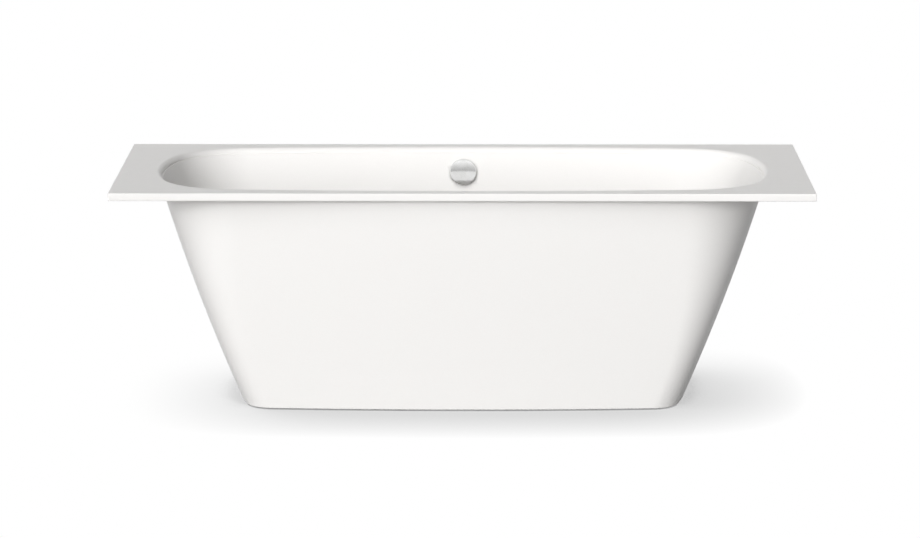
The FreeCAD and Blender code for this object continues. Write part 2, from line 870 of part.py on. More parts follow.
def make_drain_body():
    """Cup under the drain with an outlet, an overflow inlet, a cable gland and holes for the lever's pin."""
    top = -bowl_floor_thickness - drain_gasket
    axis = waste_axis_height - bowl_floor_height
    low = axis - body_below_axis
    cup = cylinder(body_radius, low, top)
    cup = cup.makeFillet(body_foot_round, level_edges(cup, low))
    pivot = lever_pivot()
    gland_at = Vector(0, 0, pivot.z + lever_horn)
    gland_reach = body_radius + gland_length
    centre = Vector(0, 0, axis)
    inlet_reach = body_radius + inlet_spigot
    cup = cup.fuse(Part.makeCylinder(waste_pipe_radius, body_radius + waste_spigot, centre, along_x))
    cup = cup.fuse(Part.makeCylinder(inlet_radius, inlet_reach, centre, along_y))
    cup = cup.fuse(Part.makeCylinder(gland_radius, gland_reach, gland_at, along_x * -1))
    room = cylinder(body_radius - body_wall, low + body_wall, top - body_lip)
    room = room.makeFillet(body_foot_round - body_wall, level_edges(room, low + body_wall))
    cup = cup.cut(room).cut(cylinder(drain_tail_radius + body_lip_gap, top - body_lip - cut_overrun, top))
    bore = waste_pipe_radius - waste_pipe_wall
    cup = cup.cut(Part.makeCylinder(bore, body_radius + waste_spigot, centre, along_x))
    cup = cup.cut(Part.makeCylinder(inlet_radius - inlet_wall, inlet_reach, centre, along_y))
    cup = cup.cut(Part.makeCylinder(gland_bore_radius, gland_reach, gland_at, along_x * -1))
    pin_start = Vector(pivot.x, -body_radius, pivot.z)
    cup = cup.cut(Part.makeCylinder(lever_pin_radius + press_gap, 2 * body_radius, pin_start, along_y))
    return placed(cup.removeSplitter(), drain_frame)


def make_plug():
    """Domed plug with a boss for its stem."""
    under = plug_lift_gap
    edge_top = under + plug_edge_height
    face_radius = plug_radius - plug_edge_round
    face_low = edge_top + plug_edge_round
    boss_low = -plug_boss_depth
    socket = stem_radius + press_gap
    outline = [
        (socket, boss_low),
        (plug_boss_radius, boss_low),
        (plug_boss_radius, under),
        (plug_radius, under),
        (plug_radius, edge_top),
        (face_radius, face_low),
        (0, face_low + plug_crown),
        (0, boss_low + stem_screw_in),
        (socket, boss_low + stem_screw_in),
    ]
    middles = {outline.index((face_radius, face_low)): dome_middle(face_radius, face_low, plug_crown)}
    return placed(turned(outline, middles), drain_frame)


def make_plug_seal():
    """Soft ring under the plug that closes on the dish."""
    slope = drain_dish_depth / (drain_dish_radius - drain_throat_radius)
    lip_low = -(drain_dish_radius - seal_outer_radius) * slope + bond_gap
    seal = turned([
        (plug_boss_radius + press_gap, plug_lift_gap),
        (plug_boss_radius + press_gap, plug_lift_gap - seal_height / 2),
        (seal_inner_radius, plug_lift_gap - seal_height / 2),
        (seal_inner_radius, lip_low),
        (seal_outer_radius, lip_low),
        (seal_outer_radius, plug_lift_gap),
    ])
    return placed(seal, drain_frame)


def make_plug_stem():
    """Round stem from the plug's boss through the guide to just above the lever."""
    return placed(cylinder(stem_radius, -stem_reach, -plug_boss_depth + stem_screw_in), drain_frame)


def make_lever():
    """Bell-crank lever: a round tip under the stem, a boss on the pin and a horn for the pull wire."""
    pivot = lever_pivot()

    def disc(radius, x, z):
        return Part.makeCylinder(radius, lever_width, Vector(x, -lever_width / 2, z), along_y)

    def arm(near_radius, far_radius, reach, turn):
        corners = [
            Vector(0, 0, near_radius),
            Vector(reach, 0, far_radius),
            Vector(reach, 0, -far_radius),
            Vector(0, 0, -near_radius),
        ]
        plate = Part.Face(Part.makePolygon(corners + corners[:1])).extrude(along_y * lever_width)
        return placed(moved(plate, 0, -lever_width / 2), Placement(pivot, Rotation(along_y, turn)))

    lever = disc(lever_boss_radius, pivot.x, pivot.z).fuse(disc(lever_tip_radius, 0, pivot.z))
    lever = lever.fuse(disc(lever_horn_radius, pivot.x, pivot.z + lever_horn))
    lever = lever.fuse(arm(lever_tip_radius, lever_horn_radius, lever_arm, 0))
    lever = lever.fuse(arm(lever_tip_radius, lever_horn_radius, lever_horn, -90))
    lever = lever.cut(disc(lever_pin_radius + running_gap, pivot.x, pivot.z))
    lever = lever.cut(disc(lever_horn_radius / 2, pivot.x, pivot.z + lever_horn))
    return placed(lever.removeSplitter(), drain_frame)


def make_lever_pin():
    """Pin across the drain body that carries the lever."""
    pivot = lever_pivot()
    inside = math.sqrt((body_radius - body_wall) ** 2 - lever_arm ** 2)
    half_length = inside + body_wall
    start = Vector(pivot.x, -half_length, pivot.z)
    return placed(Part.makeCylinder(lever_pin_radius, 2 * half_length, start, along_y), drain_frame)


def trap_points():
    """Corners of the trap's axis, from the drain body's outlet over the dip to the elbow."""
    bend = trap_bend()
    across = 2 * bend + trap_straight
    start = body_radius + waste_spigot + union_gap
    first_leg = start + trap_entry + bend
    second_leg = first_leg + across
    end = second_leg + bend + trap_entry
    low = waste_axis_height - trap_dip
    corners = [
        (start, waste_axis_height),
        (first_leg, waste_axis_height),
        (first_leg, low),
        (second_leg, low),
        (second_leg, waste_axis_height),
        (end, waste_axis_height),
    ]
    return [Vector(x, drain_offset, z) for x, z in corners]


def trap_bend():
    """Bend radius of the trap, from the dip that its two bends share."""
    return (trap_dip - trap_straight) / 2


def make_trap():
    """Tubular trap with a water seal."""
    return bent_tube(trap_points(), trap_bend(), waste_pipe_radius, waste_pipe_radius - waste_pipe_wall)


def make_elbow():
    """Elbow from the trap down to the floor, whose lower end is the waste outlet."""
    start = trap_points()[-1] + along_x * union_gap
    corner = start + along_x * (elbow_entry + elbow_bend)
    end = Vector(corner.x, corner.y, elbow_end_height)
    return bent_tube([start, corner, end], elbow_bend, waste_pipe_radius, waste_pipe_radius - waste_pipe_wall)


def make_union_nut(joint):
    """Ribbed union nut round a joint between two pipes that run along X."""
    nut = cylinder(union_nut_radius, -union_nut_length / 2, union_nut_length / 2)
    nut = nut.makeChamfer(union_rib_radius, nut.Edges[:1] + nut.Edges[2:])
    for step in range(union_nut_ribs):
        turn = 2 * math.pi * step / union_nut_ribs
        x = union_nut_radius * math.cos(turn)
        y = union_nut_radius * math.sin(turn)
        half = union_nut_length / 2 - 2 * union_rib_radius
        nut = nut.fuse(cylinder(union_rib_radius, -half, half, x, y))
    nut = nut.cut(cylinder(waste_pipe_radius + bond_gap / 2, -union_nut_length, union_nut_length))
    return placed(nut, Placement(joint, Rotation(upward, along_x)))


pipe_points = overflow_pipe_points()
outlet_joint = Vector(body_radius + waste_spigot + union_gap / 2, drain_offset, waste_axis_height)
elbow_joint = trap_points()[-1] + along_x * (union_gap / 2)
rail_nut_top = rail_top - rail_sheet

pieces = {
    "deck_slab": make_deck(),
    "bowl": make_bowl(),
    "skirt": make_skirt(),
    "support_board": make_board(),
    "leg_rail_left": make_rail(-rail_spacing / 2),
    "leg_rail_right": make_rail(rail_spacing / 2),
    "rail_screws": make_rail_screws(),
    "rail_nuts": make_nuts(rail_nut_top),
    "lock_nuts": make_nuts(rail_nut_top - nut_height),
    "overflow_flange": make_overflow_flange(),
    "overflow_gasket": make_overflow_gasket(),
    "overflow_housing": make_overflow_housing(),
    "overflow_screws": make_overflow_screws(),
    "overflow_knob": make_knob(),
    "knob_spindle": make_spindle(),
    "cable_drum": make_drum(),
    "overflow_pipe": make_overflow_pipe(),
    "pipe_clip_upper": make_clip(pipe_points[0], pipe_points[1] - pipe_points[0]),
    "pipe_clip_lower": make_clip(pipe_points[2], pipe_points[1] - pipe_points[2]),
    "drain_flange": make_drain_flange(),
    "drain_washer": make_drain_washer(),
    "drain_gasket": make_drain_gasket(),
    "drain_body": make_drain_body(),
    "drain_plug": make_plug(),
    "plug_seal": make_plug_seal(),
    "plug_stem": make_plug_stem(),
    "lift_lever": make_lever(),
    "lever_pin": make_lever_pin(),
    "trap_inlet_nut": make_union_nut(outlet_joint),
    "trap_bend": make_trap(),
    "trap_outlet_nut": make_union_nut(elbow_joint),
    "outlet_elbow": make_elbow(),
}
for foot, foot_x, foot_y in foot_places():
    pieces["foot_stud_" + foot] = make_stud(foot_x, foot_y)
    pieces["foot_pad_" + foot] = make_pad(foot_x, foot_y)

os.makedirs("parts", exist_ok=True)
for node, shape in pieces.items():
    shape.exportStep("parts/" + node + ".step")
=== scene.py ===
import math

import bmesh
import bpy
from mathutils import Matrix, Vector


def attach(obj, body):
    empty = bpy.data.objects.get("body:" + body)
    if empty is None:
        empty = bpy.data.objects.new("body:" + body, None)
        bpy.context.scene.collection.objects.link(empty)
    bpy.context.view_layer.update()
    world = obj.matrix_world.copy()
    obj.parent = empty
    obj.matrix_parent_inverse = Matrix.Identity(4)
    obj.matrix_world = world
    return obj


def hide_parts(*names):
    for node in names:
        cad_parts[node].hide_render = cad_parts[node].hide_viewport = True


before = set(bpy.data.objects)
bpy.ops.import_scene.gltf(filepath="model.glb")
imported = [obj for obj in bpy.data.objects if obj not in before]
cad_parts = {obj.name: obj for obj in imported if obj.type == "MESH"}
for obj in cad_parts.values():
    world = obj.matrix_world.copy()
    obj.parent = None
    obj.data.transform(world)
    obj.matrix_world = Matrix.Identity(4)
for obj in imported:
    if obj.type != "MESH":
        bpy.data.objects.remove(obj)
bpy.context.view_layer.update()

scene = bpy.context.scene
scene.view_settings.view_transform = "Standard"

# Sizes in metres. Main sizes are those of the solids; easings, threads, ribs and recesses are added.
mm = 0.001
merge_distance = 0.001 * mm
crisp_angle = math.radians(34)
turned_ease = 0.4 * mm
eased_middle = 0.3
fit_gap = 0.05 * mm

tub_half_length = 900 * mm
tub_half_width = 400 * mm
tub_top = 590 * mm
deck_bottom = 570 * mm
deck_edge = 1.8 * mm
opening = (804 * mm, 362 * mm, 214 * mm)
rim_roll = 14 * mm
groove_top = 572 * mm
bond_gap = 0.3 * mm

skirt_top_oval = (797 * mm, 376 * mm, 228 * mm)
skirt_foot_oval = (590.5 * mm, 297.5 * mm, 77 * mm)
skirt_bulge = (8.3 * mm, 4.2 * mm)
skirt_wall = 5 * mm
skirt_foot = 4 * mm
skirt_rows = 101

bowl_top = 575 * mm
bowl_top_oval = (787 * mm, 345 * mm, 197 * mm)
bowl_floor_oval = (555.5 * mm, 222 * mm, 110 * mm)
bowl_wall = 6 * mm
bowl_floor = 150 * mm
bowl_floor_thickness = 12 * mm
bowl_fillet = 90 * mm
bowl_flat_margin = 4 * mm
drain_place = Vector((0, 80 * mm, bowl_floor))
drain_seat_radius = 39 * mm
drain_seat_depth = 7 * mm
drain_seat_ease = 0.6 * mm
drain_hole_radius = 26 * mm
overflow_place = Vector((0, 329.9506 * mm, 523 * mm))
overflow_tilt = math.atan2(bowl_top - bowl_floor, bowl_top_oval[1] - bowl_floor_oval[1])
overflow_hole_radius = 26 * mm
overflow_hole_ends = (-30 * mm, 20 * mm)
overflow_frame = Matrix.Translation(overflow_place) @ Matrix.Rotation(overflow_tilt, 4, "X")
drain_frame = Matrix.Translation(drain_place)

cap_radius = 36 * mm
cap_back = 4 * mm
cap_side = 12 * mm
cap_crown = 3.2 * mm
cap_edge = 2.5 * mm
cap_wall = 2 * mm
cap_hub_radius = 7 * mm
cap_hub_back = 3.4 * mm
spindle_radius = 4 * mm

plug_radius = 33 * mm
plug_under = 1.2 * mm
plug_face = 3.6 * mm
plug_crown = 3 * mm
plug_edge = 1 * mm
plug_boss_radius = 8 * mm
plug_boss_depth = 7 * mm
stem_radius = 4 * mm
stem_grip = 5 * mm

rail_top = 123 * mm
rail_sheet = 2.5 * mm
rail_reach = 350 * mm
screw_reaches = (50 * mm, 110 * mm)
screw_radius = 2.5 * mm
screw_grip = 13 * mm
screw_head_radius = 5 * mm
screw_head_height = 3 * mm
screw_crown = ((0, 0), (2.6 * mm, 0.1 * mm), (3.8 * mm, 0.5 * mm), (4.6 * mm, 1.2 * mm),
               (screw_head_radius, 2.2 * mm))
cross_slot = 0.55 * mm
cross_reach = 2.3 * mm
cross_depth = 1.6 * mm
cross_narrowing = 0.35
foot_reach = 225 * mm
foot_bodies = {"foot_front_left": (-1, -1), "foot_front_right": (1, -1),
               "foot_rear_left": (-1, 1), "foot_rear_right": (1, 1)}
nut_flats = 19 * mm
nut_height = 10 * mm
nut_bore = 6.1 * mm
bore_ease = 0.6 * mm
stud_radius = 6 * mm
stud_low = 6 * mm
stud_top = 139 * mm
thread_pitch = 1.75 * mm
thread_depth = 0.75 * mm
thread_sink = 0.1 * mm
pad_radius = 30 * mm
pad_rim = 4 * mm
pad_neck = 16 * mm
pad_height = 14 * mm
pad_seat = 6.05 * mm
pad_ribs = 16
pad_rib_ends = ((-6 * mm, 0, 13 * mm), (5.6 * mm, 0, 4.7 * mm))
pad_rib_half_width = 1.3 * mm
pad_rib_half_height = 1.1 * mm
union_places = {"trap_inlet_nut": Vector((64.15 * mm, 80 * mm, 92 * mm)),
                "trap_outlet_nut": Vector((236.45 * mm, 80 * mm, 92 * mm))}
union_radius = 27 * mm
union_half = 13 * mm
union_bore = 20.2 * mm
union_ribs = 12
union_rib_radius = 2 * mm
union_rib_setback = 4 * mm

# The ovals are drawn by the way their edge faces, with more points on the long flat sides.
side_arc = math.radians(4.2)
end_arc = math.radians(14.6)
corner_arc = math.pi / 2 - side_arc - end_arc
end_steps, corner_steps, side_steps = 12, 24, 26


def quarter_facings():
    """Facing angles from the middle of an end to the middle of a long side."""
    end = [end_arc * step / end_steps for step in range(end_steps)]
    corner = [end_arc + corner_arc * step / corner_steps for step in range(corner_steps)]
    side = [math.pi / 2 - side_arc + side_arc * step / side_steps for step in range(side_steps + 1)]
    return end + corner + side


def whole_round(quarter):
    """Loop of (x, y) points from those of its first quarter."""
    second = [(-x, y) for x, y in reversed(quarter[:-1])]
    third = [(-x, -y) for x, y in quarter[1:]]
    fourth = [(x, -y) for x, y in reversed(quarter[1:-1])]
    return quarter + second + third + fourth


facing_pairs = [(math.cos(angle), math.sin(angle)) for angle in quarter_facings()]
facings = [Vector(pair) for pair in whole_round(facing_pairs)]


def oval(half_length, half_width, corner):
    """Points of a closed plan oval: two ends, two sides and four corners that meet in one direction."""
    side_rise = 1 - math.cos(side_arc)
    end_rise = 1 - math.cos(end_arc)
    reach_x = half_length - corner
    reach_y = half_width - corner
    share = math.sin(side_arc) * math.sin(end_arc) - side_rise * end_rise
    side_extra = (reach_x * math.sin(end_arc) - reach_y * end_rise) / share
    end_extra = (reach_y * math.sin(side_arc) - reach_x * side_rise) / share
    quarter = []
    for angle in quarter_facings():
        if angle < end_arc:
            centre, radius = (reach_x - end_extra, 0), end_extra + corner
        elif angle < end_arc + corner_arc:
            centre, radius = (side_extra * math.sin(side_arc), end_extra * math.sin(end_arc)), corner
        else:
            centre, radius = (0, reach_y - side_extra), side_extra + corner
        quarter.append((centre[0] + radius * math.cos(angle), centre[1] + radius * math.sin(angle)))
    return [Vector(point) for point in whole_round(quarter)]


def at_level(points, level):
    """Row of points in space from plan points."""
    return [Vector((point.x, point.y, level)) for point in points]


def drawn_in(sizes, inset):
    """Half length, half width and corner of an oval, drawn in by an inset."""
    return tuple(size - inset for size in sizes)


def slab_outline(inset, corner):
    """Plan points of the slab's edge, matched one to one with those of an oval."""
    half_length, half_width = tub_half_length - inset, tub_half_width - inset
    guide = oval(*opening)[:len(quarter_facings())]
    middle = end_steps + corner_steps // 2
    half_corner = 2
    first, last = middle - half_corner, middle + half_corner
    quarter = []
    for index, point in enumerate(guide):
        if index < first:
            place = (half_length, (half_width - corner) * point.y / guide[first].y)
        elif index > last:
            place = ((half_length - corner) * point.x / guide[last].x, half_width)
        else:
            turn = math.pi / 2 * (index - first) / (last - first)
            place = (half_length - corner + corner * math.cos(turn),
                     half_width - corner + corner * math.sin(turn))
        quarter.append(place)
    return [Vector(place) for place in whole_round(quarter)]


def sharpened(bm):
    """Smooth faces, with a crisp edge wherever two of them meet at more than the crisp angle."""
    bm.normal_update()
    for face in bm.faces:
        face.smooth = True
    for edge in bm.edges:
        edge.smooth = not (edge.is_manifold and edge.calc_face_angle(0) > crisp_angle)


def mesh_of(name, bm):
    """Plain mesh from an edit mesh, with doubles merged, loose edges deleted and faces outwards."""
    bmesh.ops.remove_doubles(bm, verts=bm.verts[:], dist=merge_distance)
    bmesh.ops.delete(bm, geom=[edge for edge in bm.edges if not edge.link_faces], context="EDGES")
    bmesh.ops.recalc_face_normals(bm, faces=bm.faces[:])
    sharpened(bm)
    mesh = bpy.data.meshes.new(name)
    bm.to_mesh(mesh)
    bm.free()
    return mesh


def add_rows(bm, rows):
    """Closed skin of quads through rows of points, each row a loop and the last row joined to the first."""
    loops = [[bm.verts.new(point) for point in row] for row in rows]
    for row, after in zip(loops, loops[1:] + loops[:1]):
        for index in range(len(row)):
            ahead = (index + 1) % len(row)
            bm.faces.new((row[index], row[ahead], after[ahead], after[index]))


def mesh_of_rows(name, rows):
    """Mesh of one closed skin through rows of points."""
    bm = bmesh.new()
    add_rows(bm, rows)
    return mesh_of(name, bm)


def dressed(name, mesh, finish, body, slot, *nodes):
    """Piece with its finish that rides on a body and stands for its solids."""
    piece = bpy.data.objects.new(name, mesh)
    scene.collection.objects.link(piece)
    mesh.materials.clear()
    mesh.materials.append(finish)
    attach(piece, body)
    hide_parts(*nodes)


# Node trees


def put(tree, socket, value):
    """Value or link put on a node's socket."""
    if isinstance(value, bpy.types.NodeSocket):
        tree.links.new(value, socket)
    else:
        socket.default_value = value


def node_of(tree, kind, **inputs):
    """Node added to a tree, with values or links put on its named sockets."""
    node = tree.nodes.new(kind)
    for key, value in inputs.items():
        put(tree, node.inputs[key.replace("_", " ").title()], value)
    return node


def worked(tree, operation, *values, kind="ShaderNodeMath"):
    """Outcome of a sum on numbers in a tree."""
    node = tree.nodes.new(kind)
    node.operation = operation
    for socket, value in zip(node.inputs, values):
        put(tree, socket, value)
    return node.outputs[0]


def worked_places(tree, operation, *values):
    """Outcome of a sum on places in a tree."""
    return worked(tree, operation, *values, kind="ShaderNodeVectorMath")


def spread(tree, value, start, end, low, high):
    """Number carried from one range to another and held at its ends."""
    node = tree.nodes.new("ShaderNodeMapRange")
    for socket, number in zip(node.inputs, (value, start, end, low, high)):
        put(tree, socket, number)
    return node.outputs["Result"]


def started_tree(name, *inputs):
    """Geometry tree with named inputs: whole for counts, an object for a copy, else plain numbers."""
    tree = bpy.data.node_groups.new(name, "GeometryNodeTree")
    tree.interface.new_socket("Geometry", in_out="OUTPUT", socket_type="NodeSocketGeometry")
    tree.interface.new_socket("Geometry", in_out="INPUT", socket_type="NodeSocketGeometry")
    for title in inputs:
        kind = "NodeSocketInt" if title.endswith("Count") else "NodeSocketFloat"
        kind = "NodeSocketObject" if title == "Copy" else kind
        tree.interface.new_socket(title, in_out="INPUT", socket_type=kind)
    return tree, tree.nodes.new("NodeGroupInput").outputs


def joined(tree, *shapes):
    """Several shapes as one in a tree."""
    node = tree.nodes.new("GeometryNodeJoinGeometry")
    for shape in shapes:
        tree.links.new(shape, node.inputs[0])
    return node.outputs[0]


def ended_tree(tree, geometry, finish):
    """End of a tree: copies made real, smooth faces and a finish."""
    real = node_of(tree, "GeometryNodeRealizeInstances", geometry=geometry)
    smooth = node_of(tree, "GeometryNodeSetShadeSmooth", geometry=real.outputs[0])
    dressed_mesh = node_of(tree, "GeometryNodeSetMaterial", geometry=smooth.outputs[0], material=finish)
    tree.links.new(dressed_mesh.outputs[0], tree.nodes.new("NodeGroupOutput").inputs[0])
    return tree


def grown(name, base, tree, **values):
    """Plain mesh that a tree grows from a base mesh, with its inputs set by name."""
    holder = bpy.data.objects.new(name, base)
    scene.collection.objects.link(holder)
    growth = holder.modifiers.new(name, "NODES")
    growth.node_group = tree
    for item in tree.interface.items_tree:
        key = item.name.lower().replace(" ", "_")
        if item.in_out == "INPUT" and key in values:
            growth[item.identifier] = values[key]
    graph = bpy.context.evaluated_depsgraph_get()
    grown_mesh = bpy.data.meshes.new_from_object(holder.evaluated_get(graph))
    holder.modifiers.remove(growth)
    bpy.data.objects.remove(holder)
    bm = bmesh.new()
    bm.from_mesh(grown_mesh)
    bpy.data.meshes.remove(grown_mesh)
    return mesh_of(name, bm)


# Finishes


def started(name):
    """New node finish: its material, its shader and the place on the piece."""
    finish = bpy.data.materials.new(name)
    finish.use_nodes = True
    nodes = finish.node_tree.nodes
    place = nodes.new("ShaderNodeTexCoord").outputs["Object"]
    return finish, nodes["Principled BSDF"], place


def node_in(finish, kind, **inputs):
    """Node added to a finish, with values or links put on its named sockets."""
    return node_of(finish.node_tree, kind, **inputs)


def cloud(finish, place, scale, detail=2.0):
    """Soft random pattern of a given fineness."""
    return node_in(finish, "ShaderNodeTexNoise", vector=place, scale=scale, detail=detail).outputs["Fac"]


def stretched(finish, place, scale):
    """Place on the piece, stretched along its axes."""
    return node_in(finish, "ShaderNodeMapping", vector=place, scale=scale).outputs["Vector"]


def between(finish, value, low, high):
    """Usual values of a soft pattern, spread evenly over a range."""
    usual_low, usual_high = 0.3, 0.7
    return spread(finish.node_tree, value, usual_low, usual_high, low, high)


def shades(finish, value, *stops):
    """Colours picked along a value, each stop a position and a colour."""
    ramp = node_in(finish, "ShaderNodeValToRGB", fac=value)
    elements = ramp.color_ramp.elements
    while len(elements) < len(stops):
        elements.new(0.5)
    for element, (position, colour) in zip(elements, stops):
        element.position = position
        element.color = (*colour, 1)
    return ramp.outputs["Color"]


def link(finish, socket, shader, name):
    """Pattern joined to one of the shader's sockets."""
    finish.node_tree.links.new(socket, shader.inputs[name])


def raised(finish, shader, height, depth, strength):
    """Fine relief on the surface from a pattern."""
    bump = node_in(finish, "ShaderNodeBump", height=height, strength=strength, distance=depth)
    link(finish, bump.outputs["Normal"], shader, "Normal")


def make_solid_surface():
    """White cast mineral rubbed to a satin: fine grains, faint clouds in its sheen and an eggshell skin."""
    finish, shader, place = started("white_solid_surface")
    grains = cloud(finish, place, scale=900, detail=1.0)
    tone = shades(finish, grains, (0.25, (0.781, 0.77, 0.756)), (0.75, (0.818, 0.807, 0.793)))
    link(finish, tone, shader, "Base Color")
    clouding = cloud(finish, place, scale=26, detail=3.0)
    link(finish, between(finish, clouding, low=0.42, high=0.5), shader, "Roughness")
    raised(finish, shader, cloud(finish, place, scale=1400), depth=0.02 * mm, strength=0.35)
    shader.inputs["Specular IOR Level"].default_value = 0.25
    return finish


def make_chrome():
    """Satin chrome: even metal with hair-fine polishing marks and slight haze."""
    finish, shader, place = started("satin_chrome")
    shader.inputs["Metallic"].default_value = 1.0
    haze = cloud(finish, place, scale=60, detail=3.0)
    tone = shades(finish, haze, (0.3, (0.72, 0.72, 0.71)), (0.7, (0.77, 0.77, 0.765)))
    link(finish, tone, shader, "Base Color")
    marks = cloud(finish, stretched(finish, place, (900, 4000, 4000)), scale=1.0)
    link(finish, between(finish, marks, low=0.08, high=0.14), shader, "Roughness")
    raised(finish, shader, marks, depth=0.003 * mm, strength=0.3)
    return finish


def make_zinc():
    """Galvanised steel: flat crystals of slightly different grey, and dull drawing lines."""
    finish, shader, place = started("galvanised_steel")
    shader.inputs["Metallic"].default_value = 1.0
    crystals = node_in(finish, "ShaderNodeTexVoronoi", vector=place, scale=120.0)
    grey = node_in(finish, "ShaderNodeSeparateColor", color=crystals.outputs["Color"]).outputs["Red"]
    tone = shades(finish, grey, (0.0, (0.47, 0.48, 0.49)), (1.0, (0.57, 0.58, 0.59)))
    link(finish, tone, shader, "Base Color")
    link(finish, between(finish, grey, low=0.34, high=0.46), shader, "Roughness")
    lines = cloud(finish, stretched(finish, place, (1500, 120, 1500)), scale=1.0)
    raised(finish, shader, lines, depth=0.01 * mm, strength=0.4)
    return finish


def make_board():
    """Moisture-proof chipboard: pressed chips of several browns with a little green."""
    finish, shader, place = started("pressed_board")
    chip_place = stretched(finish, place, (260, 480, 900))
    chips = node_in(finish, "ShaderNodeTexVoronoi", vector=chip_place, scale=1.0)
    tint = node_in(finish, "ShaderNodeSeparateColor", color=chips.outputs["Color"]).outputs["Green"]
    tone = shades(finish, tint, (0.0, (0.25, 0.185, 0.1)), (0.45, (0.34, 0.26, 0.15)),
                  (0.8, (0.4, 0.32, 0.19)), (1.0, (0.27, 0.27, 0.16)))
    link(finish, tone, shader, "Base Color")
    link(finish, between(finish, cloud(finish, place, scale=90), low=0.62, high=0.8), shader, "Roughness")
    raised(finish, shader, chips.outputs["Distance"], depth=0.15 * mm, strength=0.5)
    return finish


def make_rubber(name, colour, dull):
    """Moulded rubber: dark, dull and slightly dusty, with a fine skin."""
    finish, shader, place = started(name)
    dust = cloud(finish, place, scale=70, detail=4.0)
    dusty = tuple(part * 1.7 + 0.004 for part in colour)
    link(finish, shades(finish, dust, (0.35, colour), (0.75, dusty)), shader, "Base Color")
    rubbing = cloud(finish, place, scale=240)
    link(finish, between(finish, rubbing, low=dull - 0.06, high=dull + 0.08), shader, "Roughness")
    raised(finish, shader, cloud(finish, place, scale=1600), depth=0.03 * mm, strength=0.5)
    return finish


def make_plastic(name, dark, light, dull):
    """Moulded plastic: even colour with faint flow marks and a lightly grained skin."""
    finish, shader, place = started(name)
    flow = cloud(finish, stretched(finish, place, (20, 20, 60)), scale=1.0, detail=3.0)
    link(finish, shades(finish, flow, (0.3, dark), (0.7, light)), shader, "Base Color")
    rubbing = cloud(finish, place, scale=120)
    link(finish, between(finish, rubbing, low=dull - 0.05, high=dull + 0.06), shader, "Roughness")
    raised(finish, shader, cloud(finish, place, scale=2200, detail=1.0), depth=0.015 * mm, strength=0.5)
    return finish


def make_brass():
    """Turned brass, slightly tarnished, with tool rings."""
    finish, shader, place = started("turned_brass")
    shader.inputs["Metallic"].default_value = 1.0
    tarnish = cloud(finish, place, scale=140, detail=3.0)
    tone = shades(finish, tarnish, (0.3, (0.46, 0.33, 0.14)), (0.7, (0.64, 0.49, 0.24)))
    link(finish, tone, shader, "Base Color")
    link(finish, between(finish, tarnish, low=0.4, high=0.24), shader, "Roughness")
    rings = cloud(finish, stretched(finish, place, (200, 200, 5000)), scale=1.0)
    raised(finish, shader, rings, depth=0.01 * mm, strength=0.4)
    return finish


finishes = {
    "solid_surface": make_solid_surface(),
    "chrome": make_chrome(),
    "zinc_steel": make_zinc(),
    "board": make_board(),
    "foot_rubber": make_rubber("foot_rubber_black", (0.018, 0.018, 0.019), dull=0.66),
    "seal_rubber": make_rubber("seal_rubber_black", (0.012, 0.012, 0.013), dull=0.5),
    "grey_plastic": make_plastic("grey_moulded_plastic", dark=(0.15, 0.155, 0.16),
                                 light=(0.175, 0.18, 0.185), dull=0.48),
    "white_plastic": make_plastic("white_moulded_plastic", dark=(0.74, 0.74, 0.72),
                                  light=(0.8, 0.8, 0.785), dull=0.34),
    "dark_plastic": make_plastic("dark_moulded_plastic", dark=(0.03, 0.031, 0.033),
                                 light=(0.042, 0.043, 0.045), dull=0.44),
    "brass": make_brass(),
}
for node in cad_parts.values():
    for slot in node.material_slots:
        slot.material = finishes[slot.material.name.split(".")[0]]


# Deck, skirt and bowl


def deck_rows():
    """Rows round the deck's section: rolled rim, top, edge, underside and the recess for skirt and bowl."""
    roll = drawn_in(opening, rim_roll)
    rows = [at_level(oval(*roll), bowl_top)]
    roll_steps = 14
    for step in range(roll_steps + 1):
        turn = math.pi / 2 * step / roll_steps
        inset = rim_roll * math.cos(turn)
        rows.append(at_level(oval(*drawn_in(opening, inset)), tub_top - rim_roll + rim_roll * math.sin(turn)))
    support = 0.8 * mm
    rows.append(at_level(oval(*drawn_in(opening, -support)), tub_top))
    rows.append(at_level(slab_outline(deck_edge + support, deck_edge), tub_top))
    edge_corner = deck_edge * 1.01
    edge_steps = 4
    for step in range(edge_steps + 1):
        turn = math.pi / 2 * step / edge_steps
        inset = deck_edge * (1 - math.sin(turn))
        level = tub_top - deck_edge * (1 - math.cos(turn))
        rows.append(at_level(slab_outline(inset, edge_corner - inset), level))
    for step in range(edge_steps + 1):
        turn = math.pi / 2 * step / edge_steps
        inset = deck_edge * (1 - math.cos(turn))
        level = deck_bottom + deck_edge * (1 - math.sin(turn))
        rows.append(at_level(slab_outline(inset, edge_corner - inset), level))
    rows.append(at_level(slab_outline(deck_edge + support, deck_edge), deck_bottom))
    groove = drawn_in(skirt_top_oval, -bond_gap)
    rebate = drawn_in(bowl_top_oval, -bowl_wall - bond_gap)
    rows.append(at_level(oval(*groove), deck_bottom))
    rows.append(at_level(oval(*groove), groove_top))
    rows.append(at_level(oval(*rebate), groove_top))
    rows.append(at_level(oval(*rebate), bowl_top))
    return rows


def skirt_plan():
    """Loop of points that carries how the oval's length, width and corner move each of them."""
    mesh = bpy.data.meshes.new("skirt_plan")
    count = len(facings)
    mesh.from_pydata([(*facing, 0) for facing in facings], [(i, (i + 1) % count) for i in range(count)], [])
    for name, sizes in (("length_part", (1, 0, 0)), ("width_part", (0, 1, 0)), ("corner_part", (0, 0, 1))):
        part = mesh.attributes.new(name, "FLOAT_VECTOR", "POINT")
        part.data.foreach_set("vector", [value for point in at_level(oval(*sizes), 0) for value in point])
    return mesh


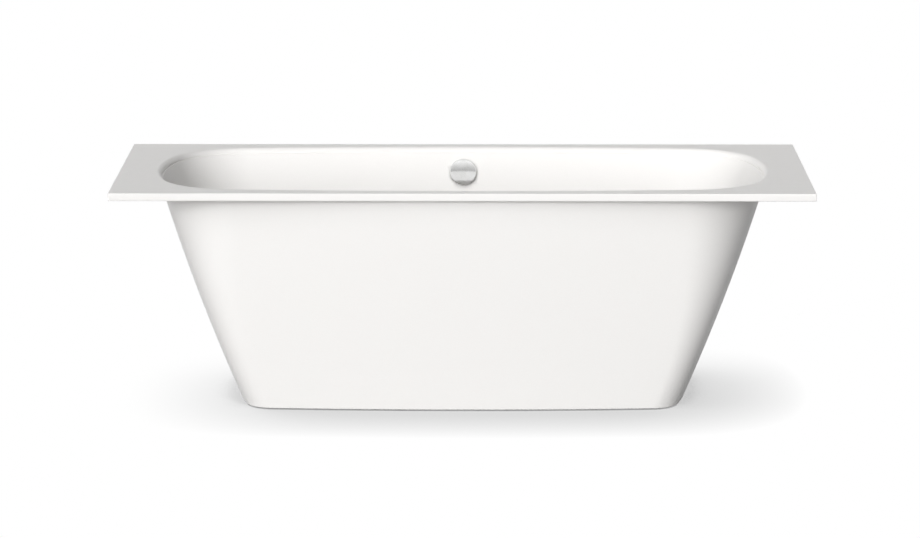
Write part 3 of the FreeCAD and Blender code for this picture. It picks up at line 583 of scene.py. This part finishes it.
def skirt_tree(finish):
    """Tree that lofts the skirt: two ovals, a bulge between them and a wall with a rounded foot."""
    tree, given = started_tree("skirt_loft", "Round Count", "Row Count",
                               "Top Length", "Top Width", "Top Corner", "Top Level",
                               "Foot Length", "Foot Width", "Foot Corner", "Foot Level",
                               "End Bulge", "Side Bulge", "Wall")
    outside_end, foot_end, inside_end = 0.46, 0.54, 0.99
    grid = node_of(tree, "GeometryNodeMeshGrid", size_x=1.0, size_y=1.0,
                   vertices_x=worked(tree, "ADD", given["Round Count"], 1.0), vertices_y=given["Row Count"])
    place = tree.nodes.new("GeometryNodeInputPosition").outputs[0]
    along = node_of(tree, "ShaderNodeSeparateXYZ", vector=place)
    share_round = worked(tree, "ADD", along.outputs["X"], 0.5)
    step_round = worked(tree, "ROUND", worked(tree, "MULTIPLY", share_round, given["Round Count"]))
    index = worked(tree, "MODULO", step_round, given["Round Count"])
    way = worked(tree, "ADD", along.outputs["Y"], 0.5)
    down = spread(tree, way, 0.0, outside_end, 1.0, 0.0)
    back_up = spread(tree, way, foot_end, inside_end, 0.0, 1.0)
    share = worked(tree, "ADD", down, back_up)
    foot_turn = spread(tree, way, outside_end, foot_end, 0.0, math.pi)
    half_wall = worked(tree, "MULTIPLY", given["Wall"], 0.5)
    foot_share = worked(tree, "SUBTRACT", 1.0, worked(tree, "COSINE", foot_turn))
    foot_inset = worked(tree, "MULTIPLY", half_wall, foot_share)
    closing = spread(tree, way, inside_end, 1.0, 1.0, 0.0)
    inset = worked(tree, "MULTIPLY", foot_inset, closing)
    foot_drop = worked(tree, "MULTIPLY", half_wall, worked(tree, "SINE", foot_turn))
    low = worked(tree, "ADD", given["Foot Level"], half_wall)
    level = worked(tree, "SUBTRACT", spread(tree, share, 0.0, 1.0, low, given["Top Level"]), foot_drop)
    rest = worked(tree, "SUBTRACT", 1.0, share)
    arch = worked(tree, "MULTIPLY", worked(tree, "MULTIPLY", share, rest), 4.0)
    rise = {"Length": share, "Width": share, "Corner": worked(tree, "MULTIPLY", share, share)}
    bulges = {"Length": "End Bulge", "Width": "Side Bulge"}
    point = node_of(tree, "ShaderNodeCombineXYZ", z=level).outputs[0]
    for part, share_of_part in rise.items():
        size = spread(tree, share_of_part, 0.0, 1.0, given[f"Foot {part}"], given[f"Top {part}"])
        if part in bulges:
            size = worked(tree, "ADD", size, worked(tree, "MULTIPLY", arch, given[bulges[part]]))
        size = worked(tree, "SUBTRACT", size, inset)
        carried = node_of(tree, "GeometryNodeInputNamedAttribute", name=f"{part.lower()}_part")
        carried.data_type = "FLOAT_VECTOR"
        sample = tree.nodes.new("GeometryNodeSampleIndex")
        sample.data_type = "FLOAT_VECTOR"
        tree.links.new(given["Geometry"], sample.inputs["Geometry"])
        tree.links.new(carried.outputs["Attribute"], sample.inputs["Value"])
        tree.links.new(index, sample.inputs["Index"])
        point = worked_places(tree, "ADD", point, worked_places(tree, "MULTIPLY", sample.outputs[0], size))
    shaped = node_of(tree, "GeometryNodeSetPosition", geometry=grid.outputs["Mesh"], position=point)
    closed = node_of(tree, "GeometryNodeMergeByDistance", geometry=shaped.outputs[0], distance=merge_distance)
    return ended_tree(tree, closed.outputs[0], finish)


def bowl_rows(wall, drop):
    """Rows up one face of the bowl from the edge of its flat floor to its top."""
    low = bowl_floor - drop
    reach = (bowl_top - low) / (bowl_top - bowl_floor)
    top_plan = oval(*drawn_in(bowl_top_oval, -wall))
    half_length = bowl_top_oval[0] + wall - (bowl_top_oval[0] - bowl_floor_oval[0]) * reach
    half_width = bowl_top_oval[1] + wall - (bowl_top_oval[1] - bowl_floor_oval[1]) * reach
    low_plan = oval(half_length, half_width, bowl_floor_oval[2] + wall)
    fillet = bowl_fillet + wall
    depth = bowl_top - low
    fillet_steps, wall_steps = 14, 22
    rows = [[] for step in range(fillet_steps + wall_steps + 1)]
    for facing, below, above in zip(facings, low_plan, top_plan):
        lean = math.atan((above - below).dot(facing) / depth)
        tangent = fillet * (1 - math.sin(lean)) / math.cos(lean)
        rise = fillet * (1 - math.sin(lean))
        slide = (above - below) / depth - facing * math.tan(lean)
        for step in range(fillet_steps + 1):
            turn = (math.pi / 2 - lean) * step / fillet_steps
            height = fillet * (1 - math.cos(turn))
            point = below + facing * (fillet * math.sin(turn) - tangent) + slide * height
            rows[step].append(Vector((point.x, point.y, low + height)))
        for step in range(1, wall_steps + 1):
            height = rise + (depth - rise) * step / wall_steps
            point = below + (above - below) * height / depth
            rows[fillet_steps + step].append(Vector((point.x, point.y, low + height)))
    return rows


def circle_row(guide, centre, radius, level):
    """Round row whose points lie in the same directions from a centre as those of another row."""
    row = []
    for point in guide:
        away = Vector((point.x - centre.x, point.y - centre.y)).normalized() * radius
        row.append(Vector((centre.x + away.x, centre.y + away.y, level)))
    return row


def bowl_section():
    """Rows round the bowl's section, from the drain hole under the floor to the drain seat inside."""
    outer = bowl_rows(bowl_wall, bowl_floor_thickness)
    inner = bowl_rows(0, 0)
    under = bowl_floor - bowl_floor_thickness
    ledge_edge = ((0, 1.5 * mm), (0.2 * mm, 0.75 * mm), (0.75 * mm, 0.2 * mm), (1.5 * mm, 0))
    ledge = [at_level(oval(*drawn_in(bowl_top_oval, -back)), bowl_top - drop)
             for back, drop in reversed(ledge_edge)]
    flat = oval(*drawn_in(bowl_floor_oval, bowl_fillet + bowl_flat_margin))
    rows = [circle_row(flat, drain_place, drain_hole_radius, under), at_level(flat, under)]
    rows += outer
    rows += ledge
    rows += list(reversed(inner[:-1]))
    rows.append(at_level(flat, bowl_floor))
    ease = drain_seat_ease
    cut = ease * eased_middle
    seat = ((drain_seat_radius + 2 * ease, 0), (drain_seat_radius + ease, 0),
            (drain_seat_radius + cut, cut), (drain_seat_radius, ease),
            (drain_seat_radius, drain_seat_depth), (drain_hole_radius, drain_seat_depth))
    rows += [circle_row(flat, drain_place, radius, bowl_floor - depth) for radius, depth in seat]
    return rows


def turned_rows(outline, steps, placement=Matrix()):
    """Rows round an axis from an outline of (radius, level) points."""
    rows = []
    for step in range(steps):
        turn = 2 * math.pi * step / steps
        rows.append([placement @ Vector((radius * math.cos(turn), radius * math.sin(turn), level))
                     for radius, level in outline])
    return rows


def pierced(mesh, cutter_mesh):
    """Mesh with a cutter's shape taken out of it."""
    body = bpy.data.objects.new("uncut", mesh)
    cutter = bpy.data.objects.new("cutter", cutter_mesh)
    for item in (body, cutter):
        scene.collection.objects.link(item)
    cut = body.modifiers.new("cut", "BOOLEAN")
    cut.operation = "DIFFERENCE"
    cut.solver = "EXACT"
    cut.object = cutter
    graph = bpy.context.evaluated_depsgraph_get()
    result = bpy.data.meshes.new_from_object(body.evaluated_get(graph))
    bpy.data.objects.remove(body)
    bpy.data.objects.remove(cutter)
    return result


white = finishes["solid_surface"]
dressed("rolled_deck", mesh_of_rows("rolled_deck", deck_rows()), white, "tub", "solid_surface", "deck_slab")
lofted = grown("oval_skirt", skirt_plan(), skirt_tree(white), round_count=len(facings), row_count=skirt_rows,
               top_length=skirt_top_oval[0], top_width=skirt_top_oval[1], top_corner=skirt_top_oval[2],
               foot_length=skirt_foot_oval[0], foot_width=skirt_foot_oval[1], foot_corner=skirt_foot_oval[2],
               end_bulge=skirt_bulge[0], side_bulge=skirt_bulge[1],
               top_level=groove_top, foot_level=skirt_foot, wall=skirt_wall)
dressed("oval_skirt", lofted, white, "tub", "solid_surface", "skirt")
hole_back, hole_front = overflow_hole_ends
hole = [(0, hole_back), (overflow_hole_radius, hole_back),
        (overflow_hole_radius, hole_front), (0, hole_front)]
basin = pierced(mesh_of_rows("basin_uncut", bowl_section()),
                mesh_of_rows("overflow_hole", turned_rows(hole, steps=64, placement=overflow_frame)))
basin.name = "deep_basin"
dressed("deep_basin", basin, white, "tub", "solid_surface", "bowl")


# Cap and plug


def domed_outline(radius, low, edge_top, edge, crown):
    """Points up a turned side, round its eased edge and over a shallow dome to the axis."""
    face = radius - edge
    lean = math.asin(2 * crown * face / (face ** 2 + crown ** 2))
    cut = turned_ease * eased_middle
    points = [(radius - turned_ease, low), (radius - cut, low + cut), (radius, low + turned_ease)]
    edge_steps, dome_steps = 8, 28
    for step in range(edge_steps + 1):
        turn = (math.pi / 2 - lean) * step / edge_steps
        points.append((face + edge * math.cos(turn), edge_top - edge + edge * math.sin(turn)))
    start_radius, start_level = points[-1]
    sphere = start_radius / math.sin(lean)
    for step in range(1, dome_steps + 1):
        turn = lean * (1 - step / dome_steps)
        points.append((sphere * math.sin(turn), start_level + sphere * (math.cos(turn) - math.cos(lean))))
    return points


def cap_outline():
    """Section of the overflow cap: hub, hollow back, side and domed face."""
    edge_top = cap_back + cap_side
    inner_top = edge_top - cap_wall
    inner_radius = cap_radius - cap_wall
    ease = turned_ease
    bore = spindle_radius + fit_gap
    points = [(bore, cap_hub_back), (cap_hub_radius - ease, cap_hub_back),
              (cap_hub_radius, cap_hub_back + ease), (cap_hub_radius, inner_top - ease),
              (cap_hub_radius + ease, inner_top), (inner_radius - ease, inner_top),
              (inner_radius, inner_top - ease), (inner_radius, cap_back + ease),
              (inner_radius + ease, cap_back)]
    points += domed_outline(cap_radius, cap_back, edge_top, cap_edge, cap_crown)
    return points + [(0, inner_top), (bore, inner_top)]


def plug_outline():
    """Section of the drain plug: boss, underside, edge and domed face."""
    ease = turned_ease
    socket = stem_radius + fit_gap
    socket_top = stem_grip - plug_boss_depth
    points = [(socket, -plug_boss_depth), (plug_boss_radius - ease, -plug_boss_depth),
              (plug_boss_radius, ease - plug_boss_depth), (plug_boss_radius, plug_under)]
    points += domed_outline(plug_radius, plug_under, plug_face, plug_edge, plug_crown)
    return points + [(0, socket_top), (socket, socket_top)]


chrome = finishes["chrome"]
cap = mesh_of_rows("overflow_cap", turned_rows(cap_outline(), steps=96, placement=overflow_frame))
dressed("overflow_cap", cap, chrome, "knob", "chrome", "overflow_knob")
plug = mesh_of_rows("domed_plug", turned_rows(plug_outline(), steps=96, placement=drain_frame))
dressed("domed_plug", plug, chrome, "plug", "chrome", "drain_plug")


# Screws, nuts, threads and ribs


def places_mesh(name, places):
    """Mesh of loose points where copies stand."""
    mesh = bpy.data.meshes.new(name)
    mesh.from_pydata(places, [], [])
    return mesh


def copies_tree(finish):
    """Tree that sets a copy of one piece on every point."""
    tree, given = started_tree("copies_at_places", "Copy")
    copy = node_of(tree, "GeometryNodeObjectInfo", object=given["Copy"])
    placed = node_of(tree, "GeometryNodeInstanceOnPoints", points=given["Geometry"],
                     instance=copy.outputs["Geometry"])
    return ended_tree(tree, placed.outputs[0], finish)


def ring_tree(name, finish):
    """Tree that adds a ring of copies of one rib round a turned body."""
    tree, given = started_tree(name, "Copy", "Rib Count", "Ring Radius")
    copy = node_of(tree, "GeometryNodeObjectInfo", object=given["Copy"])
    circle = node_of(tree, "GeometryNodeMeshCircle", vertices=given["Rib Count"], radius=given["Ring Radius"])
    index = tree.nodes.new("GeometryNodeInputIndex").outputs[0]
    turn = worked(tree, "DIVIDE", worked(tree, "MULTIPLY", index, 2 * math.pi), given["Rib Count"])
    facing = node_of(tree, "ShaderNodeCombineXYZ", z=turn)
    ribs = node_of(tree, "GeometryNodeInstanceOnPoints", points=circle.outputs["Mesh"],
                   instance=copy.outputs["Geometry"], rotation=facing.outputs[0])
    return ended_tree(tree, joined(tree, ribs.outputs[0], given["Geometry"]), finish)


def thread_tree(finish):
    """Tree that winds a thread's ridge round a rod's core."""
    tree, given = started_tree("wound_thread", "Pitch", "Turns", "Radius", "Ridge", "Start Level")
    spiral = node_of(tree, "GeometryNodeCurveSpiral", resolution=24, rotations=given["Turns"],
                     start_radius=given["Radius"], end_radius=given["Radius"],
                     height=worked(tree, "MULTIPLY", given["Pitch"], given["Turns"]))
    upright = node_of(tree, "GeometryNodeSetCurveNormal", curve=spiral.outputs[0])
    upright.mode = "Z_UP"
    section = node_of(tree, "GeometryNodeCurvePrimitiveCircle", resolution=4, radius=given["Ridge"])
    ridge = node_of(tree, "GeometryNodeCurveToMesh", curve=upright.outputs[0],
                    profile_curve=section.outputs[0], fill_caps=True)
    start = node_of(tree, "ShaderNodeCombineXYZ", z=given["Start Level"])
    lifted = node_of(tree, "GeometryNodeSetPosition", geometry=ridge.outputs[0], offset=start.outputs[0])
    return ended_tree(tree, joined(tree, lifted.outputs[0], given["Geometry"]), finish)


def grown_with(name, base, tree, copy_mesh, **values):
    """Mesh that a tree grows from a base mesh with copies of one piece."""
    copy = bpy.data.objects.new("copy", copy_mesh)
    scene.collection.objects.link(copy)
    mesh = grown(name, base, tree, copy=copy, **values)
    bpy.data.objects.remove(copy)
    return mesh


def rounded_bar(ends, half_width, half_height):
    """Mesh of a bar with an oval section and rounded ends."""
    start, end = (Vector(place) for place in ends)
    way = (end - start).normalized()
    across = Vector((0, 1, 0))
    up = across.cross(way)
    row_steps, round_steps, bluntness = 18, 16, 8
    turns = [2 * math.pi * step / round_steps for step in range(round_steps)]
    rows = []
    for step in range(row_steps + 1):
        share = math.cos(math.pi * (1 - step / row_steps))
        size = math.sqrt(1 - abs(share) ** bluntness)
        wide, high = across * half_width * size, up * half_height * size
        middle = start + (end - start) * (share + 1) / 2
        rows.append([middle + wide * math.cos(turn) + high * math.sin(turn) for turn in turns])
    return mesh_of_rows("rounded_bar", rows)


def screw_mesh():
    """Pan-head screw, head down, with a cross recess."""
    head_top = rail_top - rail_sheet
    low = head_top - screw_head_height
    tip = rail_top + screw_grip
    outline = [(radius, low + rise) for radius, rise in screw_crown]
    outline += [(screw_head_radius, head_top), (screw_radius, head_top), (screw_radius, tip - screw_radius),
                (0, tip)]
    head = mesh_of_rows("screw_uncut", turned_rows(outline, steps=32))
    slot, reach = cross_slot, cross_reach
    cross = [(reach, -slot), (reach, slot), (slot, slot), (slot, reach), (-slot, reach), (-slot, slot),
             (-reach, slot), (-reach, -slot), (-slot, -slot), (-slot, -reach), (slot, -reach), (slot, -slot)]
    overcut = 1 * mm
    narrow = cross_narrowing
    bm = bmesh.new()
    mouth = [bm.verts.new((x, y, low - overcut)) for x, y in cross]
    base = [bm.verts.new((x * narrow, y * narrow, low + cross_depth)) for x, y in cross]
    bm.faces.new(mouth)
    bm.faces.new(base)
    for index in range(len(cross)):
        ahead = (index + 1) % len(cross)
        bm.faces.new((mouth[index], mouth[ahead], base[ahead], base[index]))
    return pierced(head, mesh_of("cross_recess", bm))


def hexagon_rows(flats, low, high, bore):
    """Rows round a hexagon's section, with its corners turned off at both ends."""
    steps_per_flat = 12
    flat_turn = math.radians(60)
    chamfer = flats / 2 * 0.98
    chamfer_slope = math.tan(math.radians(30))
    rows = []
    for step in range(6 * steps_per_flat):
        turn = flat_turn * step / steps_per_flat
        reach = flats / 2 / math.cos(turn % flat_turn - flat_turn / 2)
        ease = (reach - chamfer) * chamfer_slope
        outline = [(bore + bore_ease, low), (chamfer, low), (reach, low + ease), (reach, high - ease),
                   (chamfer, high), (bore + bore_ease, high), (bore, high - bore_ease),
                   (bore, low + bore_ease)]
        rows.append([Vector((radius * math.cos(turn), radius * math.sin(turn), level))
                     for radius, level in outline])
    return rows


def stud_core():
    """Core of a levelling stud: root of its thread, plain foot and hexagon."""
    root = stud_radius - thread_depth
    nut_top = pad_height + nut_height
    foot_ease, tip_ease, overlap = 0.5 * mm, 1.5 * mm, 1 * mm
    outline = [(0, stud_low), (stud_radius - foot_ease, stud_low), (stud_radius, stud_low + foot_ease),
               (stud_radius, nut_top + overlap), (root, nut_top + 2 * overlap),
               (root, stud_top - tip_ease), (root - tip_ease, stud_top), (0, stud_top)]
    bm = bmesh.new()
    add_rows(bm, turned_rows(outline, steps=40))
    add_rows(bm, hexagon_rows(nut_flats, pad_height, nut_top, stud_radius - overlap))
    return mesh_of("stud_core", bm)


def pad_body():
    """Moulded foot pad without its ribs."""
    base_ease = ((1.2 * mm, 0), (0.35 * mm, 0.35 * mm), (0, 1.2 * mm))
    rim_ease = ((0, -1 * mm), (0.25 * mm, -0.3 * mm), (1 * mm, 0.45 * mm))
    neck_ease = ((1 * mm, -1 * mm), (0.2 * mm, -0.3 * mm), (-0.6 * mm, 0))
    outline = [(0, 0)]
    outline += [(pad_radius - inset, rise) for inset, rise in base_ease]
    outline += [(pad_radius - inset, pad_rim + rise) for inset, rise in rim_ease]
    outline += [(pad_neck + outset, pad_height + rise) for outset, rise in neck_ease]
    outline += [(pad_seat, pad_height), (pad_seat, stud_low), (0, stud_low)]
    return mesh_of_rows("pad_body", turned_rows(outline, steps=72))


def union_body():
    """Turned body of a union nut, with eased edges."""
    ease, mouth_ease = 2 * mm, 1 * mm
    one_end = [(union_bore, mouth_ease), (union_bore + mouth_ease, 0), (union_radius - ease, 0),
               (union_radius - ease / 4, ease * eased_middle), (union_radius, ease)]
    outline = [(radius, rise - union_half) for radius, rise in one_end]
    outline += [(radius, union_half - rise) for radius, rise in reversed(one_end)]
    return mesh_of_rows("union_body", turned_rows(outline, steps=72))


zinc = finishes["zinc_steel"]
zinc_copies = copies_tree(zinc)
screw_places = [(side * rail_reach, end * reach, 0)
                for side in (-1, 1) for reach in screw_reaches for end in (-1, 1)]
screws = grown_with("cross_screws", places_mesh("screw_places", screw_places), zinc_copies, screw_mesh())
dressed("cross_screws", screws, zinc, "tub", "zinc_steel", "rail_screws")
for name, top in (("rail_nuts", rail_top - rail_sheet), ("lock_nuts", rail_top - rail_sheet - nut_height)):
    nut_places = [(side * rail_reach, end * foot_reach, top) for side, end in foot_bodies.values()]
    nut = mesh_of_rows("nut", hexagon_rows(nut_flats, -nut_height, 0, nut_bore))
    nuts = grown_with(f"hexagon_{name}", places_mesh("nut_places", nut_places), zinc_copies, nut)
    dressed(f"hexagon_{name}", nuts, zinc, "tub", "zinc_steel", name)

threads = thread_tree(zinc)
pad_rubber = finishes["foot_rubber"]
pads = ring_tree("ribbed_pad", pad_rubber)
thread_start = pad_height + nut_height + 2.5 * mm
thread_end = stud_top - 2 * mm
thread_turns = math.floor((thread_end - thread_start) / thread_pitch)
rib_ring = (pad_radius + pad_neck) / 2
for body, (side, end) in foot_bodies.items():
    corner = body.removeprefix("foot_")
    stand = Matrix.Translation((side * rail_reach, end * foot_reach, 0))
    stud = grown(f"threaded_stud_{corner}", stud_core(), threads,
                 pitch=thread_pitch, turns=float(thread_turns), start_level=thread_start,
                 radius=stud_radius - thread_depth - thread_sink, ridge=thread_depth + thread_sink)
    stud.transform(stand)
    dressed(f"threaded_stud_{corner}", stud, zinc, body, "zinc_steel", f"foot_stud_{corner}")
    rib = rounded_bar(pad_rib_ends, pad_rib_half_width, pad_rib_half_height)
    pad = grown_with(f"ribbed_pad_{corner}", pad_body(), pads, rib, rib_count=pad_ribs, ring_radius=rib_ring)
    pad.transform(stand)
    dressed(f"ribbed_pad_{corner}", pad, pad_rubber, body, "foot_rubber", f"foot_pad_{corner}")

pipe_white = finishes["white_plastic"]
unions = ring_tree("ribbed_union", pipe_white)
rib_half = union_half - union_rib_setback
for name, place in union_places.items():
    rib = rounded_bar(((0, 0, -rib_half), (0, 0, rib_half)), union_rib_radius, union_rib_radius)
    union = grown_with(f"ribbed_{name}", union_body(), unions, rib,
                       rib_count=union_ribs, ring_radius=union_radius)
    union.transform(Matrix.Translation(place) @ Matrix.Rotation(math.pi / 2, 4, "Y"))
    dressed(f"ribbed_{name}", union, pipe_white, "tub", "white_plastic", name)


# Studio


def background_rays(tree):
    """One for rays that show the white background: straight to the eye, mirrored or seen through glass."""
    path = tree.nodes.new("ShaderNodeLightPath").outputs
    seen_or_mirrored = worked(tree, "MAXIMUM", path["Is Camera Ray"], path["Is Glossy Ray"])
    return worked(tree, "MAXIMUM", seen_or_mirrored, path["Is Transmission Ray"])


def mixed(tree, share, first, second):
    """Shader between a first and a second one, by a share."""
    node = tree.nodes.new("ShaderNodeMixShader")
    for socket, value in zip(node.inputs, (share, first, second)):
        tree.links.new(value, socket)
    return node.outputs[0]


def studio_finish(name):
    """Finish of a studio sheet without a shader, and its tree."""
    finish = bpy.data.materials.new(name)
    finish.use_nodes = True
    tree = finish.node_tree
    tree.nodes.remove(tree.nodes["Principled BSDF"])
    return finish, tree


def studio_sheet(name, corners, finish):
    """Flat sheet of the studio with its finish."""
    mesh = bpy.data.meshes.new(name)
    mesh.from_pydata(corners, [], [(0, 1, 2, 3)])
    mesh.materials.append(finish)
    sheet = bpy.data.objects.new(name, mesh)
    scene.collection.objects.link(sheet)
    return sheet


# The world shows white where it is seen or mirrored, and gives no other light.
world = bpy.data.worlds.new("studio")
scene.world = world
world.use_nodes = True
sky = world.node_tree
unlit = sky.nodes["Background"]
unlit.inputs["Strength"].default_value = 0.0
shown = node_of(sky, "ShaderNodeBackground", color=(1, 1, 1, 1), strength=1.0)
studio_sky = mixed(sky, background_rays(sky), unlit.outputs[0], shown.outputs[0])
sky.links.new(studio_sky, sky.nodes["World Output"].inputs["Surface"])

# The floor shows white with a painted soft shadow and painted shade in the gap under the skirt, both
# from occlusion. It throws a little light back, and from below it can be seen through.
floor_reach = 60.0
floor_tone = (0.15, 0.15, 0.15, 1)
floor_glow = 0.14
shadow_reach = 0.3
shadow_tone = 0.524
shadow_lean = (math.radians(-45), 0, math.radians(40))
shadow_samples = 16
gap_shade_tone = 0.2
gap_covered, gap_open = 0.22, 0.42
floor_finish, tree = studio_finish("studio_floor")
lit_floor = node_of(tree, "ShaderNodeBsdfDiffuse", color=floor_tone)
even_floor = node_of(tree, "ShaderNodeEmission", strength=floor_glow)
bounce = tree.nodes.new("ShaderNodeAddShader")
tree.links.new(lit_floor.outputs[0], bounce.inputs[0])
tree.links.new(even_floor.outputs[0], bounce.inputs[1])
surface = tree.nodes.new("ShaderNodeNewGeometry").outputs
facing_light = node_of(tree, "ShaderNodeMapping", vector=surface["Normal"], rotation=shadow_lean).outputs[0]
shade = node_of(tree, "ShaderNodeAmbientOcclusion", normal=facing_light, distance=shadow_reach)
cover = node_of(tree, "ShaderNodeAmbientOcclusion", distance=shadow_reach)
shade.samples = shadow_samples
cover.samples = shadow_samples
# Painted shadow and painted gap shade: occlusion, not any lamp, darkens the floor's white glow.
soft_shade = spread(tree, shade.outputs["AO"], 0, 1, shadow_tone, 1)
gap_shade = spread(tree, cover.outputs["AO"], gap_covered, gap_open, gap_shade_tone, 1)
glow = node_of(tree, "ShaderNodeEmission", strength=worked(tree, "MULTIPLY", soft_shade, gap_shade))
from_above = mixed(tree, background_rays(tree), bounce.outputs[0], glow.outputs[0])
see_through = tree.nodes.new("ShaderNodeBsdfTransparent")
both_sides = mixed(tree, surface["Backfacing"], from_above, see_through.outputs[0])
tree.links.new(both_sides, tree.nodes["Material Output"].inputs["Surface"])
floor_corners = [(-floor_reach, -floor_reach, 0), (floor_reach, -floor_reach, 0),
                 (floor_reach, floor_reach, 0), (-floor_reach, floor_reach, 0)]
floor = studio_sheet("studio_floor", floor_corners, floor_finish)

# A card in front of the tub that is only seen mirrored, dim below and bright above.
card_low, card_high = 2.0, 3.65
card_half, card_distance = 2.4, 3.0
card_dim, card_bright = 0.5, 1.35
card_finish, tree = studio_finish("shaded_card")
card_place = tree.nodes.new("ShaderNodeTexCoord").outputs["Object"]
card_height = node_of(tree, "ShaderNodeSeparateXYZ", vector=card_place).outputs["Z"]
card_strength = spread(tree, card_height, card_low, card_high, card_dim, card_bright)
card_glow = node_of(tree, "ShaderNodeEmission", strength=card_strength)
tree.links.new(card_glow.outputs[0], tree.nodes["Material Output"].inputs["Surface"])
card_corners = [(-card_half, -card_distance, card_low), (card_half, -card_distance, card_low),
                (card_half, -card_distance, card_high), (-card_half, -card_distance, card_high)]
card = studio_sheet("shaded_card", card_corners, card_finish)
card.visible_camera = False
card.visible_diffuse = False
card.visible_shadow = False
card.visible_transmission = False


def soft_light(name, strength, softness, towards):
    """Even light from far away, shining in a direction."""
    lamp = bpy.data.lights.new(name, "SUN")
    lamp.energy = strength
    lamp.angle = math.radians(softness)
    holder = bpy.data.objects.new(name, lamp)
    holder.rotation_euler = Vector(towards).to_track_quat("-Z", "Y").to_euler()
    holder.visible_glossy = False
    scene.collection.objects.link(holder)


def light_from(azimuth, elevation):
    """Direction of light that comes from an azimuth left of the front and an elevation."""
    left, up = math.radians(azimuth), math.radians(elevation)
    return (math.sin(left) * math.cos(up), math.cos(left) * math.cos(up), -math.sin(up))


soft_light("front_light", strength=2.4, softness=35, towards=light_from(azimuth=15, elevation=10))
soft_light("upper_light", strength=1.82, softness=60, towards=light_from(azimuth=10, elevation=40))
soft_light("left_light", strength=1.0, softness=40, towards=light_from(azimuth=85, elevation=0))
soft_light("rear_light", strength=2.0, softness=70, towards=light_from(azimuth=170, elevation=4))

camera_place = (0.04316, -10.47785, 2.31931)
camera_down = math.radians(10.808)
camera_left = math.radians(0.274)
camera = bpy.data.cameras.new("photo_camera")
camera.lens = 157.65
camera.sensor_width = 36
camera.sensor_fit = "HORIZONTAL"
camera.clip_end = 200
viewpoint = bpy.data.objects.new("photo_camera", camera)
viewpoint.location = camera_place
viewpoint.rotation_euler = (math.pi / 2 - camera_down, 0, camera_left)
scene.collection.objects.link(viewpoint)
scene.camera = viewpoint

bpy.context.view_layer.update()
